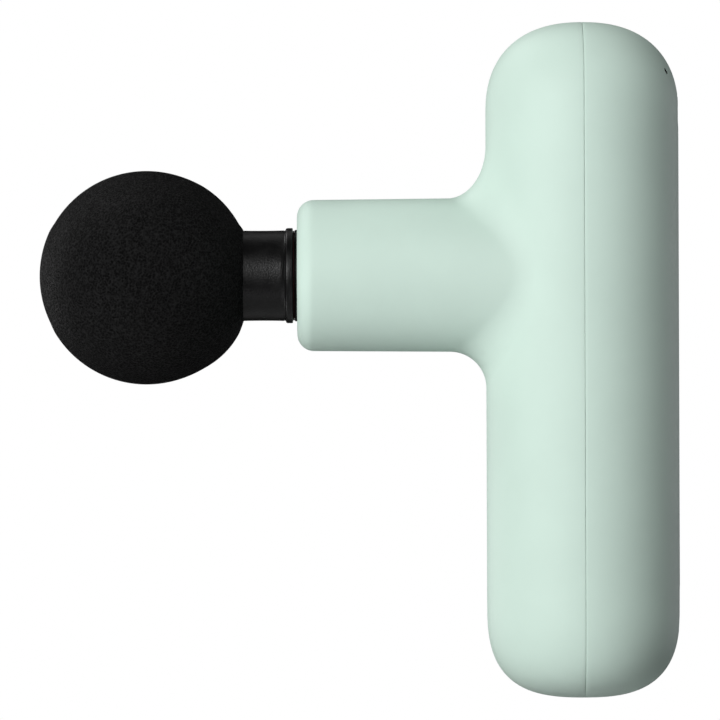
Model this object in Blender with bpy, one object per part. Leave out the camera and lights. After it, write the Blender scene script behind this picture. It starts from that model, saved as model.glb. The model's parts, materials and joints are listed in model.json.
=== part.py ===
"""Percussion massage gun: capsule handle, short nose, Scotch-yoke drive and a foam ball head.

World frame in metres, +Z up. The origin is the point where the handle's upright axis (Z) crosses the
plunger's axis (X). The nose and the head point to -X; the button and the charging port face +X.
A turned piece on the plunger's axis is laid out by its reach: the distance forward of the origin.
"""

import math

import bmesh
import bpy
import numpy as np
from mathutils import Matrix, Vector

MM = 0.001

# Casing
HANDLE_RADIUS = 21.4 * MM
HANDLE_TOP = 56.0 * MM
HANDLE_BOTTOM = -93.8 * MM
TOP_CAP = 20.2 * MM
TOP_CAP_POWER = 2.35
BOTTOM_CAP = 20.9 * MM
BOTTOM_CAP_POWER = 2.85
NOSE_REACH = 63.3 * MM
NOSE_RADIUS = 16.74 * MM
NOSE_DRAFT = 0.0083
NOSE_CORNER = 3.7 * MM
MOUTH_RADIUS = 10.6 * MM
# how far the fillet reaches along the nose and along the handle, below and above the nose
FILLET_ALONG_NOSE = (8.0 * MM, 9.1 * MM)
FILLET_ALONG_HANDLE = (8.0 * MM, 12.0 * MM)
WALL = 2.2 * MM
FRONT_EDGE_X = -0.15 * MM
REAR_EDGE_X = 0.15 * MM
LIP_REACH = 1.5 * MM
LIP_INSET = 1.15 * MM
REBATE_INSET = 0.85 * MM

# Drive
CRANK_THROW = 3.5 * MM
PLUNGER_RADIUS = 10.15 * MM
PLUNGER_FACE = 63.85 * MM
SOCKET_RADIUS = 7.1 * MM
SOCKET_FLOOR = 44.9 * MM
ROD_RADIUS = 3.9 * MM
ROD_END = 40.9 * MM
BEARING_RADIUS = 5.0 * MM
YOKE_CLEARANCE = 0.95 * MM
YOKE_HALF_THICKNESS = 2.4 * MM
SHAFT_RADIUS = 2.0 * MM
MOTOR_PLATE_Z = 10.6 * MM
MOTOR_PLATE_THICKNESS = 2.4 * MM
STATOR_Z = (14.8 * MM, 25.6 * MM)
TOOTH_COUNT = 9
MAGNET_COUNT = 14
BELL_RADIUS = 14.2 * MM
MOTOR_SCREW_RADIUS = 12.9 * MM
FRAME_SCREW_Y = 16.6 * MM
FRAME_SCREW_LEVELS = (17.6 * MM, -11.2 * MM)

# Head
BALL_RADIUS = 23.7 * MM
BALL_REACH = 96.76 * MM
BALL_SWELL = 0.012
FLANGE_BACK = 64.25 * MM
FLANGE_RADIUS = 10.55 * MM
NECK_RADIUS = 10.05 * MM
NECK_WAIST = 0.07 * MM
GASKET_REACHES = (63.93 * MM, 64.17 * MM)
O_RING_REACHES = (52.5 * MM, 59.5 * MM)

# Controls, boards and battery
BUTTON_Z = 35.5 * MM
BUTTON_RADIUS = 4.2 * MM
LED_Z = 45.3 * MM
LED_OFFSETS = (-7.5 * MM, -2.5 * MM, 2.5 * MM, 7.5 * MM)
CONTROL_BOARD_X = (12.5 * MM, 13.5 * MM)
MAIN_BOARD_X = (10.4 * MM, 12.0 * MM)
MAIN_BOARD_Z = (-80.0 * MM, -14.2 * MM)
BOARD_SCREW_LEVELS = (-27.0 * MM, -62.0 * MM)
PORT_Z = -74.0 * MM
CELL_RADIUS = 9.15 * MM
CELL_LENGTH = 65.0 * MM
CELL_OFFSET_Y = 9.25 * MM
CELL_BOTTOM = -80.3 * MM
POST_Z = 42.5 * MM
POST_OFFSETS = (-7.2 * MM, 7.2 * MM)
LEAD_OFFSETS = (-5.0 * MM, -2.8 * MM, -0.6 * MM)
RIBBON_Y = 5.5 * MM

GAP = 0.3 * MM
FORWARD = (0.0, -math.pi / 2, 0.0)
BACKWARD = (0.0, math.pi / 2, 0.0)

# Finish: colour, roughness, metallic
FINISHES = {
    "mint_plastic": ((0.58, 0.75, 0.67), 0.45, 0.0),
    "black_plastic": ((0.02, 0.02, 0.02), 0.4, 0.0),
    "black_foam": ((0.015, 0.015, 0.017), 0.9, 0.0),
    "rubber": ((0.03, 0.03, 0.03), 0.8, 0.0),
    "nylon": ((0.09, 0.09, 0.1), 0.6, 0.0),
    "steel": ((0.55, 0.55, 0.57), 0.3, 1.0),
    "bronze": ((0.55, 0.35, 0.16), 0.45, 1.0),
    "aluminium": ((0.75, 0.75, 0.77), 0.35, 1.0),
    "copper": ((0.7, 0.28, 0.12), 0.35, 1.0),
    "magnet": ((0.3, 0.3, 0.31), 0.4, 1.0),
    "nickel": ((0.7, 0.68, 0.62), 0.25, 1.0),
    "board": ((0.03, 0.18, 0.08), 0.45, 0.0),
    "cell_sleeve": ((0.05, 0.2, 0.45), 0.35, 0.0),
    "smoked_lens": ((0.05, 0.05, 0.05), 0.1, 0.0),
    "lead_sleeve": ((0.5, 0.05, 0.04), 0.5, 0.0),
    "red_silicone": ((0.16, 0.03, 0.025), 0.6, 0.0),
}


# ---------------------------------------------------------------- tools


def clear_scene():
    for thing in list(bpy.data.objects):
        bpy.data.objects.remove(thing, do_unlink=True)


def material(finish):
    """The Principled material of one finish, made the first time it is asked for."""
    found = bpy.data.materials.get(finish)
    if found:
        return found
    colour, roughness, metallic = FINISHES[finish]
    made = bpy.data.materials.new(finish)
    made.use_nodes = True
    shader = made.node_tree.nodes["Principled BSDF"]
    shader.inputs["Base Color"].default_value = (*colour, 1.0)
    shader.inputs["Roughness"].default_value = roughness
    shader.inputs["Metallic"].default_value = metallic
    return made


def placed(name, bm, finish, location=(0, 0, 0), rotation=(0, 0, 0), parent=None):
    """Turns a bmesh into a named object, shaded smooth across its shallow edges."""
    bmesh.ops.recalc_face_normals(bm, faces=bm.faces)
    mesh = bpy.data.meshes.new(name)
    bm.to_mesh(mesh)
    bm.free()
    mesh.shade_smooth()
    mesh.set_sharp_from_angle(angle=math.radians(35))
    mesh.materials.append(material(finish))
    made = bpy.data.objects.new(name, mesh)
    made.location = location
    made.rotation_euler = rotation
    made.parent = parent
    bpy.context.scene.collection.objects.link(made)
    return made


def boolean(target, tool, operation):
    """Adds a live Boolean to target and keeps its tool out of the model."""
    modifier = target.modifiers.new(tool.name, "BOOLEAN")
    modifier.operation = operation
    modifier.solver = "EXACT"
    modifier.object = tool
    tool.hide_render = True
    tool.display_type = "WIRE"
    tool.parent = target.parent


def cut(target, tool):
    boolean(target, tool, "DIFFERENCE")


def join(target, tool):
    boolean(target, tool, "UNION")


def ring_of(bm, points):
    return [bm.verts.new(point) for point in points]


def strip_between(bm, first, second):
    """Faces between two closed loops of vertices; either may be a single point."""
    count = max(len(first), len(second))
    for i in range(count):
        k = (i + 1) % count
        if len(first) == 1:
            bm.faces.new((first[0], second[i], second[k]))
        elif len(second) == 1:
            bm.faces.new((first[i], second[0], first[k]))
        else:
            bm.faces.new((first[i], second[i], second[k], first[k]))


def turned_bmesh(profile, segments, closed):
    """Revolves (radius, height) points about Z. A closed profile goes round and meets itself."""
    bm = bmesh.new()
    turns = [2 * math.pi * i / segments for i in range(segments)]
    loops = []
    for radius, height in profile:
        angles = turns if radius > 0 else [0.0]
        loops.append(
            ring_of(bm, [(radius * math.cos(a), radius * math.sin(a), height) for a in angles])
        )
    for first, second in zip(loops, loops[1:]):
        strip_between(bm, first, second)
    if closed:
        strip_between(bm, loops[-1], loops[0])
    return bm


def turned(name, profile, finish, segments=32, **place):
    """A solid of revolution: its profile starts and ends on the axis, or else is a closed ring."""
    closed = profile[0][0] > 0
    return placed(name, turned_bmesh(profile, segments, closed), finish, **place)


def washer_profile(inner, outer, low, high):
    return [(inner, low), (outer, low), (outer, high), (inner, high)]


def add_box(bm, low, high):
    """One box between two corners."""
    low, high = Vector(low), Vector(high)
    shape = Matrix.Translation((low + high) / 2) @ Matrix.Diagonal((*(high - low), 1.0))
    bmesh.ops.create_cube(bm, size=1.0, matrix=shape)


def boxes(name, corners, finish, **place):
    bm = bmesh.new()
    for low, high in corners:
        add_box(bm, low, high)
    return placed(name, bm, finish, **place)


def add_rod(bm, start, end, radius, segments=16):
    """One plain cylinder from start to end."""
    start, end = Vector(start), Vector(end)
    turn = (end - start).to_track_quat("Z", "Y").to_matrix().to_4x4()
    bmesh.ops.create_cone(
        bm,
        cap_ends=True,
        segments=segments,
        radius1=radius,
        radius2=radius,
        depth=(end - start).length,
        matrix=Matrix.Translation((start + end) / 2) @ turn,
    )


def rods(name, spans, radius, finish, segments=16, **place):
    bm = bmesh.new()
    for start, end in spans:
        add_rod(bm, start, end, radius, segments)
    return placed(name, bm, finish, **place)


def rounded_outline(half_x, half_y, corner, steps=4):
    """A rounded rectangle about the origin, as (x, y) points."""
    points = []
    for quarter in range(4):
        middle_x = (half_x - corner) * (1 if quarter in (0, 3) else -1)
        middle_y = (half_y - corner) * (1 if quarter in (0, 1) else -1)
        for i in range(steps + 1):
            angle = math.pi / 2 * (quarter + i / steps)
            points.append((middle_x + corner * math.cos(angle), middle_y + corner * math.sin(angle)))
    return points


def prism_bmesh(outline, low, high, hole=None):
    """An upright prism; a hole's outline has as many points as the outer one."""
    bm = bmesh.new()
    outer = [ring_of(bm, [(x, y, z) for x, y in outline]) for z in (low, high)]
    strip_between(bm, *outer)
    if hole is None:
        bm.faces.new(outer[0])
        bm.faces.new(outer[1])
        return bm
    inner = [ring_of(bm, [(x, y, z) for x, y in hole]) for z in (low, high)]
    strip_between(bm, *inner)
    strip_between(bm, outer[0], inner[0])
    strip_between(bm, outer[1], inner[1])
    return bm


def smooth_route(points, steps):
    """Catmull-Rom points through a route laid out by hand."""
    ends = [points[0], *points, points[-1]]
    route = []
    for before, here, there, after in zip(ends, ends[1:], ends[2:], ends[3:]):
        for i in range(steps):
            t = i / steps
            bend = 2 * before - 5 * here + 4 * there - after
            twist = -before + 3 * here - 3 * there + after
            route.append(here + (there - before) * t / 2 + bend * t * t / 2 + twist * t**3 / 2)
    return [*route, points[-1]]


# ---------------------------------------------------------------- casing


def handle_level(x, y, z, inset):
    """Below zero inside the capsule handle, shrunk by inset; its caps are superellipses."""
    radius = HANDLE_RADIUS - inset
    top_start = HANDLE_TOP - TOP_CAP
    bottom_start = HANDLE_BOTTOM + BOTTOM_CAP
    rise = np.maximum(z - top_start, 0) / (TOP_CAP - inset)
    drop = np.maximum(bottom_start - z, 0) / (BOTTOM_CAP - inset)
    power = np.where(z > 0, TOP_CAP_POWER, BOTTOM_CAP_POWER)
    width = np.hypot(x, y) / radius
    return ((width**power + (rise + drop) ** power) ** (1 / power) - 1) * radius


def nose_level(x, y, z, inset):
    """Below zero inside the nose, a drafted cylinder with a rounded front edge."""
    corner = max(NOSE_CORNER - inset, GAP)
    radius = NOSE_RADIUS + NOSE_DRAFT * (x + NOSE_REACH) - inset
    ahead = -x - (NOSE_REACH - inset - corner)
    aside = np.hypot(y, z) - (radius - corner)
    outside = np.hypot(np.maximum(ahead, 0), np.maximum(aside, 0))
    return outside + np.minimum(np.maximum(ahead, aside), 0) - corner


def casing_level(x, y, z, inset):
    """Below zero inside the casing: handle and nose joined by an elliptical fillet."""
    handle = handle_level(x, y, z, inset)
    nose = np.where(x < 0, nose_level(x, y, z, inset), 1.0)
    across = np.hypot(y, z) + 1e-9
    share = (1 + z / across) / 2
    along_nose = np.interp(share, (0, 1), FILLET_ALONG_NOSE) + inset
    along_handle = np.interp(share, (0, 1), FILLET_ALONG_HANDLE) + inset
    # cosine of the angle between the two surfaces' normals
    lean = np.minimum(y * y / (np.hypot(x, y) * across + 1e-12), 0.999)
    to_handle = handle / along_nose - 1
    to_nose = nose / along_handle - 1
    in_fillet = (to_handle < to_nose * lean) & (to_nose < to_handle * lean)
    spread = to_handle**2 + to_nose**2 - 2 * to_handle * to_nose * lean
    rolled = 1 - np.sqrt(np.maximum(spread, 0) / (1 - lean**2))
    return np.where(in_fillet, rolled * along_nose, np.minimum(handle, nose))


def reach_along(start, direction, inset):
    """How far from start, along direction, the casing's surface lies. Arrays of vectors."""
    near = np.zeros(direction.shape[:-1])
    far = np.full(direction.shape[:-1], 0.15)
    for _ in range(36):
        middle = (near + far) / 2
        point = start + direction * middle[..., None]
        outside = casing_level(point[..., 0], point[..., 1], point[..., 2], inset) > 0
        far = np.where(outside, middle, far)
        near = np.where(outside, near, middle)
    return (near + far) / 2


def evened(places, cost, count):
    """count places between the first and the last, evenly spread over a running cost."""
    return np.interp(np.linspace(cost[0], cost[-1], count), cost, places)


def running_cost(points, turn_weight, length_weight):
    """Cost along a polyline that grows with its length and with how much it turns."""
    steps = np.diff(points, axis=0)
    lengths = np.linalg.norm(steps, axis=1)
    headings = np.unwrap(np.arctan2(steps[:, 1], steps[:, 0]))
    turns = np.abs(np.gradient(headings))
    return np.concatenate([[0], np.cumsum(length_weight * lengths + turn_weight * turns)])


def upper_radius(z):
    """The handle's outside radius at a height above its middle."""
    rise = max(z - HANDLE_TOP + TOP_CAP, 0) / TOP_CAP
    return HANDLE_RADIUS * (1 - rise**TOP_CAP_POWER) ** (1 / TOP_CAP_POWER)


def meridian_angles(half_count):
    """Angles about the nose's axis, close together where the casing's upright outline bends."""
    dense = np.linspace(0, math.pi, 721)
    direction = np.stack([0 * dense, np.sin(dense), np.cos(dense)], axis=-1)
    outline = direction * reach_along(np.zeros(3), direction, 0.0)[:, None]
    cost = running_cost(outline[:, 1:], 1.0, 0.0) + 0.9 * dense
    half = evened(dense, cost, half_count + 1)
    return np.concatenate([half, 2 * math.pi - half[-2:0:-1]])


def plane_ring(angles, x, inset):
    """The casing's outline in an upright plane, one point per meridian."""
    across = np.stack([0 * angles, np.sin(angles), np.cos(angles)], axis=-1)
    start = np.array([x, 0.0, 0.0])
    return start + across * reach_along(start, across, inset)[:, None]


def meridian_points(angle, side, start_angle, end_x, inset, count):
    """Points from the nose's mouth (or the back's pole) along one meridian to an upright plane."""
    edge = plane_ring(np.array([angle]), end_x, inset)[0]
    end_angle = math.atan2(np.hypot(edge[1], edge[2]), side * edge[0])

    def surface(polar):
        across = np.array([0.0, math.sin(angle), math.cos(angle)])
        direction = side * np.cos(polar)[:, None] * np.array([1.0, 0.0, 0.0])
        direction = direction + np.sin(polar)[:, None] * across
        return direction * reach_along(np.zeros(3), direction, inset)[:, None]

    dense = np.linspace(start_angle, end_angle, 240)
    points = surface(dense)
    profile = np.stack([points[:, 0], np.hypot(points[:, 1], points[:, 2])], axis=-1)
    cost = running_cost(profile, 1.0, 9.0)
    return surface(evened(dense, cost, count))


def shell_rings(side, half_count, outer_count, inner_count):
    """The closed chain of rings that bounds one half of the casing, from its outside to its inside.

    side is -1 for the front half, whose lip reaches past the joint, and +1 for the rear half,
    whose rebate takes that lip.
    """
    angles = meridian_angles(half_count)
    front = side < 0
    edge_x = FRONT_EDGE_X if front else REAR_EDGE_X
    step_x = edge_x + LIP_REACH
    step_inset = LIP_INSET if front else REBATE_INSET
    outer_start = math.atan2(MOUTH_RADIUS, NOSE_REACH) if front else 0.0
    inner_start = math.atan2(MOUTH_RADIUS, NOSE_REACH - WALL) if front else 0.0
    outer = [meridian_points(a, side, outer_start, edge_x, 0.0, outer_count) for a in angles]
    inner = [meridian_points(a, side, inner_start, step_x, WALL, inner_count) for a in angles]
    rings = [np.array([line[i] for line in outer]) for i in range(outer_count)]
    rings.append(plane_ring(angles, edge_x, step_inset))
    rings.append(plane_ring(angles, step_x, step_inset))
    rings += [np.array([line[i] for line in inner]) for i in reversed(range(inner_count))]
    return rings


def half_shell(name, side, half_count, outer_count, inner_count):
    bm = bmesh.new()
    loops = []
    for ring in shell_rings(side, half_count, outer_count, inner_count):
        at_pole = np.ptp(ring, axis=0).max() < 1e-6
        loops.append(ring_of(bm, ring[:1] if at_pole else ring))
    for first, second in zip(loops, loops[1:]):
        strip_between(bm, first, second)
    if len(loops[0]) > 1:
        strip_between(bm, loops[-1], loops[0])
    return placed(name, bm, "mint_plastic")


def make_front_shell():
    """The front half with the nose, and four bosses that the drive frame is screwed to."""
    shell = half_shell("front_shell", -1, 18, 16, 12)
    places = [(y, z) for z in FRAME_SCREW_LEVELS for y in (-FRAME_SCREW_Y, FRAME_SCREW_Y)]
    boss_spans = [((-5.3 * MM, y, z), (-10.2 * MM, y, z)) for y, z in places]
    hole_spans = [((-4.0 * MM, y, z), (-9.6 * MM, y, z)) for y, z in places]
    join(shell, rods("front_boss_tool", boss_spans, 1.9 * MM, "mint_plastic", segments=10))
    cut(shell, rods("front_boss_hole_tool", hole_spans, 1.25 * MM, "mint_plastic", segments=8))
    return shell


def make_rear_shell():
    """The rear half, with openings for the button, four lights and the charging port."""
    shell = half_shell("rear_shell", 1, 18, 10, 8)
    boss_spans = [((12.3 * MM, 0, z), (19.9 * MM, 0, z)) for z in BOARD_SCREW_LEVELS]
    join(shell, rods("rear_boss_tool", boss_spans, 2.6 * MM, "mint_plastic", segments=12))
    post_spans = [((13.8 * MM, y, POST_Z), (18.9 * MM, y, POST_Z)) for y in POST_OFFSETS]
    join(shell, rods("rear_post_tool", post_spans, 1.2 * MM, "mint_plastic", segments=8))
    pin_spans = [((12.2 * MM, y, POST_Z), (15.0 * MM, y, POST_Z)) for y in POST_OFFSETS]
    join(shell, rods("rear_pin_tool", pin_spans, 0.75 * MM, "mint_plastic", segments=8))
    hole_spans = [((11.0 * MM, 0, z), (18.3 * MM, 0, z)) for z in BOARD_SCREW_LEVELS]
    cut(shell, rods("rear_boss_hole_tool", hole_spans, 1.1 * MM, "mint_plastic", segments=8))
    button_span = [((15.0 * MM, 0, BUTTON_Z), (25.0 * MM, 0, BUTTON_Z))]
    cut(shell, rods("button_hole_tool", button_span, BUTTON_RADIUS + GAP, "mint_plastic", segments=24))
    light_spans = [((14.0 * MM, y, LED_Z), (24.0 * MM, y, LED_Z)) for y in LED_OFFSETS]
    cut(shell, rods("light_hole_tool", light_spans, 0.8 * MM, "mint_plastic", segments=8))
    slot = rounded_outline(4.9 * MM, 2.0 * MM, 1.95 * MM)
    slot_bm = prism_bmesh(slot, 0.0, 8.0 * MM)
    cut(shell, placed("port_hole_tool", slot_bm, "mint_plastic", (16.0 * MM, 0, PORT_Z), BACKWARD))
    return shell


# ---------------------------------------------------------------- plunger, bushes and frame


def make_nose_seal():
    profile = washer_profile(10.4 * MM, 13.4 * MM, 59.3 * MM, 60.8 * MM)
    return turned("nose_seal", profile, "rubber", 28, rotation=FORWARD)


def make_bushes():
    front = washer_profile(10.4 * MM, 12.3 * MM, 50.3 * MM, 58.2 * MM)
    turned("front_bush", front, "bronze", 28, rotation=FORWARD)
    rear = washer_profile(4.15 * MM, 5.9 * MM, 26.3 * MM, 34.2 * MM)
    turned("rear_bush", rear, "bronze", 20, rotation=FORWARD)


def make_damper_rings():
    """Soft rings that carry the drive frame's barrel in the nose."""
    for name, reach in (("front_damper_ring", 55.0 * MM), ("rear_damper_ring", 38.0 * MM)):
        profile = washer_profile(13.5 * MM, 14.1 * MM, reach - 1.5 * MM, reach + 1.5 * MM)
        turned(name, profile, "rubber", 28, rotation=FORWARD)


def make_drive_frame():
    """The moulded frame: a barrel for the plunger, a cup for the crank, and ears for its screws."""
    cup_profile = [(0.0, -8.0 * MM), (18.0 * MM, -8.0 * MM), (18.0 * MM, 10.3 * MM), (0.0, 10.3 * MM)]
    cup = turned("drive_frame", cup_profile, "nylon", 32)
    barrel = [(0.0, 14.0 * MM), (13.3 * MM, 14.0 * MM), (13.3 * MM, 58.6 * MM), (0.0, 58.6 * MM)]
    join(cup, turned("frame_barrel_tool", barrel, "nylon", 28, rotation=FORWARD))
    ears = []
    for near_y, far_y in ((-18.0 * MM, -14.6 * MM), (14.6 * MM, 18.0 * MM)):
        ears.append(((-5.0 * MM, near_y, 9.2 * MM), (-2.8 * MM, far_y, 19.8 * MM)))
        ears.append(((-5.0 * MM, near_y, -13.2 * MM), (-2.8 * MM, far_y, -6.8 * MM)))
    join(cup, boxes("frame_ear_tool", ears, "nylon"))
    turned_bores = [
        (0.0, 10.0 * MM),
        (9.0 * MM, 10.0 * MM),
        (9.0 * MM, 26.0 * MM),
        (6.1 * MM, 26.0 * MM),
        (6.1 * MM, 34.5 * MM),
        (11.2 * MM, 34.5 * MM),
        (11.2 * MM, 50.0 * MM),
        (12.45 * MM, 50.0 * MM),
        (12.45 * MM, 60.0 * MM),
        (0.0, 60.0 * MM),
    ]
    cut(cup, turned("frame_bore_tool", turned_bores, "nylon", 28, rotation=FORWARD))
    crank_room = [
        (0.0, -6.4 * MM),
        (16.5 * MM, -6.4 * MM),
        (16.5 * MM, 8.8 * MM),
        (11.2 * MM, 8.8 * MM),
        (11.2 * MM, 10.4 * MM),
        (14.8 * MM, 10.4 * MM),
        (14.8 * MM, 14.0 * MM),
        (0.0, 14.0 * MM),
    ]
    cut(cup, turned("frame_room_tool", crank_room, "nylon", 32))
    window = [((11.0 * MM, -8.3 * MM, -9.0 * MM), (20.0 * MM, 8.3 * MM, 12.0 * MM))]
    cut(cup, boxes("frame_window_tool", window, "nylon"))
    cut(cup, rods("frame_motor_hole_tool", screw_spans(8.0 * MM, 11.0 * MM), 1.1 * MM, "nylon", 8))
    ear_holes = []
    for z in FRAME_SCREW_LEVELS:
        for y in (-FRAME_SCREW_Y, FRAME_SCREW_Y):
            ear_holes.append(((-6.0 * MM, y, z), (-2.0 * MM, y, z)))
    cut(cup, rods("frame_ear_hole_tool", ear_holes, 1.25 * MM, "nylon", 8))
    return cup


def screw_spans(low, high):
    """Upright spans at the four motor screws."""
    spans = []
    for i in range(4):
        angle = math.pi / 4 + i * math.pi / 2
        x = MOTOR_SCREW_RADIUS * math.cos(angle)
        y = MOTOR_SCREW_RADIUS * math.sin(angle)
        spans.append(((x, y, low), (x, y, high)))
    return spans


def make_plunger(parent):
    profile = [
        (SOCKET_RADIUS, PLUNGER_FACE),
        (PLUNGER_RADIUS - 0.3 * MM, PLUNGER_FACE),
        (PLUNGER_RADIUS, PLUNGER_FACE - 0.3 * MM),
        (PLUNGER_RADIUS, 36.3 * MM),
        (ROD_RADIUS + 0.25 * MM, 36.3 * MM),
        (ROD_RADIUS + 0.25 * MM, ROD_END + GAP),
        (1.7 * MM, ROD_END + GAP),
        (1.7 * MM, SOCKET_FLOOR),
        (SOCKET_RADIUS, SOCKET_FLOOR),
    ]
    turned("plunger", profile, "black_plastic", 32, rotation=FORWARD, parent=parent)
    screw = [
        (0.0, 33.0 * MM),
        (1.4 * MM, 33.0 * MM),
        (1.4 * MM, SOCKET_FLOOR + GAP),
        (2.75 * MM, SOCKET_FLOOR + GAP),
        (2.75 * MM, SOCKET_FLOOR + 2.6 * MM),
        (0.0, SOCKET_FLOOR + 2.6 * MM),
    ]
    turned("plunger_screw", screw, "steel", 12, rotation=FORWARD, parent=parent)


def make_yoke(parent):
    """A slotted plate on a push rod. The slot turns the crank pin's circle into a straight stroke."""
    slot_half_x = BEARING_RADIUS + YOKE_CLEARANCE
    slot_half_y = BEARING_RADIUS + CRANK_THROW + GAP
    outer = rounded_outline(slot_half_x + 2.5 * MM, slot_half_y + 2.0 * MM, 4.0 * MM)
    hole = rounded_outline(slot_half_x, slot_half_y, 3.0 * MM)
    plate = prism_bmesh(outer, -YOKE_HALF_THICKNESS, YOKE_HALF_THICKNESS, hole)
    yoke = placed("yoke", plate, "steel", (CRANK_THROW, 0, 0), parent=parent)
    root = slot_half_x + 1.0 * MM - CRANK_THROW
    rod = [
        (0.0, root),
        (ROD_RADIUS, root),
        (ROD_RADIUS, ROD_END),
        (1.65 * MM, ROD_END),
        (1.65 * MM, 32.5 * MM),
        (0.0, 32.5 * MM),
    ]
    join(yoke, turned("yoke_rod_tool", rod, "steel", 20, rotation=FORWARD))


# ---------------------------------------------------------------- crank and motor


def make_crank(parent):
    """The crank disc, heavy on the side away from its pin, with the pin and the pin's bearing."""
    outline = []
    for i in range(32):
        angle = 2 * math.pi * i / 32
        radius = 10.4 * MM if math.cos(angle) < 0.1 else 7.5 * MM
        outline.append((radius * math.cos(angle), radius * math.sin(angle)))
    disc = placed("crank_disc", prism_bmesh(outline, 4.3 * MM, 10.0 * MM), "steel", parent=parent)
    shaft_hole = [((0, 0, 7.0 * MM), (0, 0, 11.0 * MM))]
    cut(disc, rods("disc_shaft_hole_tool", shaft_hole, SHAFT_RADIUS + 0.1 * MM, "steel", 20))
    pin_hole = [((CRANK_THROW, 0, 3.0 * MM), (CRANK_THROW, 0, 6.6 * MM))]
    cut(disc, rods("disc_pin_hole_tool", pin_hole, 1.6 * MM, "steel", 16))
    pin = [
        (0.0, -3.7 * MM),
        (3.1 * MM, -3.7 * MM),
        (3.1 * MM, -2.7 * MM),
        (2.4 * MM, -2.7 * MM),
        (2.4 * MM, 2.7 * MM),
        (3.1 * MM, 2.7 * MM),
        (3.1 * MM, 4.0 * MM),
        (1.45 * MM, 4.0 * MM),
        (1.45 * MM, 6.3 * MM),
        (0.0, 6.3 * MM),
    ]
    at_pin = (CRANK_THROW, 0, 0)
    turned("crank_pin", pin, "steel", 16, location=at_pin, parent=parent)
    bearing = washer_profile(2.5 * MM, BEARING_RADIUS, -2.0 * MM, 2.0 * MM)
    turned("crank_bearing", bearing, "steel", 24, location=at_pin, parent=parent)


def make_motor_base():
    """The plate with its bearing tube, the two bearings, and the screws that hold the plate."""
    top = MOTOR_PLATE_Z + MOTOR_PLATE_THICKNESS
    profile = [
        (4.55 * MM, MOTOR_PLATE_Z),
        (14.5 * MM, MOTOR_PLATE_Z),
        (14.5 * MM, top),
        (5.6 * MM, top),
        (5.6 * MM, 27.4 * MM),
        (4.55 * MM, 27.4 * MM),
        (4.55 * MM, 23.8 * MM),
        (3.2 * MM, 23.8 * MM),
        (3.2 * MM, 14.2 * MM),
        (4.55 * MM, 14.2 * MM),
    ]
    plate = turned("motor_plate", profile, "aluminium", 28)
    cut(plate, rods("plate_hole_tool", screw_spans(10.0 * MM, 14.0 * MM), 1.05 * MM, "aluminium", 8))
    notch = [((10.4 * MM, -6.2 * MM, 10.0 * MM), (16.0 * MM, 6.2 * MM, 14.0 * MM))]
    cut(plate, boxes("plate_notch_tool", notch, "aluminium"))
    for name, low in (("motor_bearing_lower", 10.8 * MM), ("motor_bearing_upper", 24.1 * MM)):
        ring = washer_profile(2.1 * MM, 4.45 * MM, low, low + 3.0 * MM)
        turned(name, ring, "steel", 20)
    for i, (start, _) in enumerate(screw_spans(7.0 * MM, 8.5 * MM)):
        screw("motor_screw_%d" % (i + 1), 1.8 * MM, 1.5 * MM, 0.85 * MM, 3.9 * MM, start, (0, 0, 0))


def screw(name, head_radius, head_height, shank_radius, shank_length, location, rotation):
    """A pan-head screw whose head starts at the local origin and whose shank points along +Z."""
    profile = [
        (0.0, 0.0),
        (head_radius, 0.0),
        (head_radius, head_height),
        (shank_radius, head_height),
        (shank_radius, head_height + shank_length),
        (0.0, head_height + shank_length),
    ]
    return turned(name, profile, "steel", 8, location=location, rotation=rotation)


def make_stator():
    """Laminations with nine teeth, and a coil round each tooth joined by the ring of end wires."""
    low, high = STATOR_Z
    outline = []
    for i in range(TOOTH_COUNT):
        middle = 2 * math.pi * i / TOOTH_COUNT
        steps = [
            (7.4, -17.0),
            (7.4, -8.6),
            (10.5, -6.0),
            (10.9, -15.5),
            (11.8, -15.0),
            (11.8, -5.0),
            (11.8, 5.0),
            (11.8, 15.0),
            (10.9, 15.5),
            (10.5, 6.0),
            (7.4, 8.6),
            (7.4, 17.0),
        ]
        for radius, degrees in steps:
            angle = middle + math.radians(degrees)
            outline.append((radius * MM * math.cos(angle), radius * MM * math.sin(angle)))
    core = placed("stator_core", prism_bmesh(outline, low, high), "magnet")
    bore = [((0, 0, low - 1 * MM), (0, 0, high + 1 * MM))]
    cut(core, rods("stator_bore_tool", bore, 5.75 * MM, "magnet", 24))

    end_ring = washer_profile(8.2 * MM, 9.6 * MM, high + 0.9 * MM, high + 1.5 * MM)
    windings = turned("stator_windings", end_ring, "copper", 27)
    coils = bmesh.new()
    for i in range(TOOTH_COUNT):
        turn = Matrix.Rotation(2 * math.pi * i / TOOTH_COUNT, 4, "Z")
        coil = rounded_coil(low, high)
        coil.transform(turn)
        scratch = bpy.data.meshes.new("coil")
        coil.to_mesh(scratch)
        coil.free()
        coils.from_mesh(scratch)
        bpy.data.meshes.remove(scratch)
    join(windings, placed("coil_tool", coils, "copper"))


def rounded_coil(low, high):
    """One coil: a rectangular ring that wraps a tooth along +X."""
    near, far = 7.75 * MM, 10.2 * MM
    half_height = (high - low) / 2
    middle = (high + low) / 2
    outer = rounded_outline(2.35 * MM, half_height + 1.2 * MM, 0.9 * MM, steps=1)
    inner = rounded_outline(1.45 * MM, half_height + 0.2 * MM, 0.1 * MM, steps=1)
    coil = prism_bmesh(outer, near, far, inner)
    # local (x, y, z) of the prism becomes (z, x, y) of the motor
    coil.transform(Matrix(((0, 0, 1, 0), (1, 0, 0, 0), (0, 1, 0, middle), (0, 0, 0, 1))))
    return coil


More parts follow.
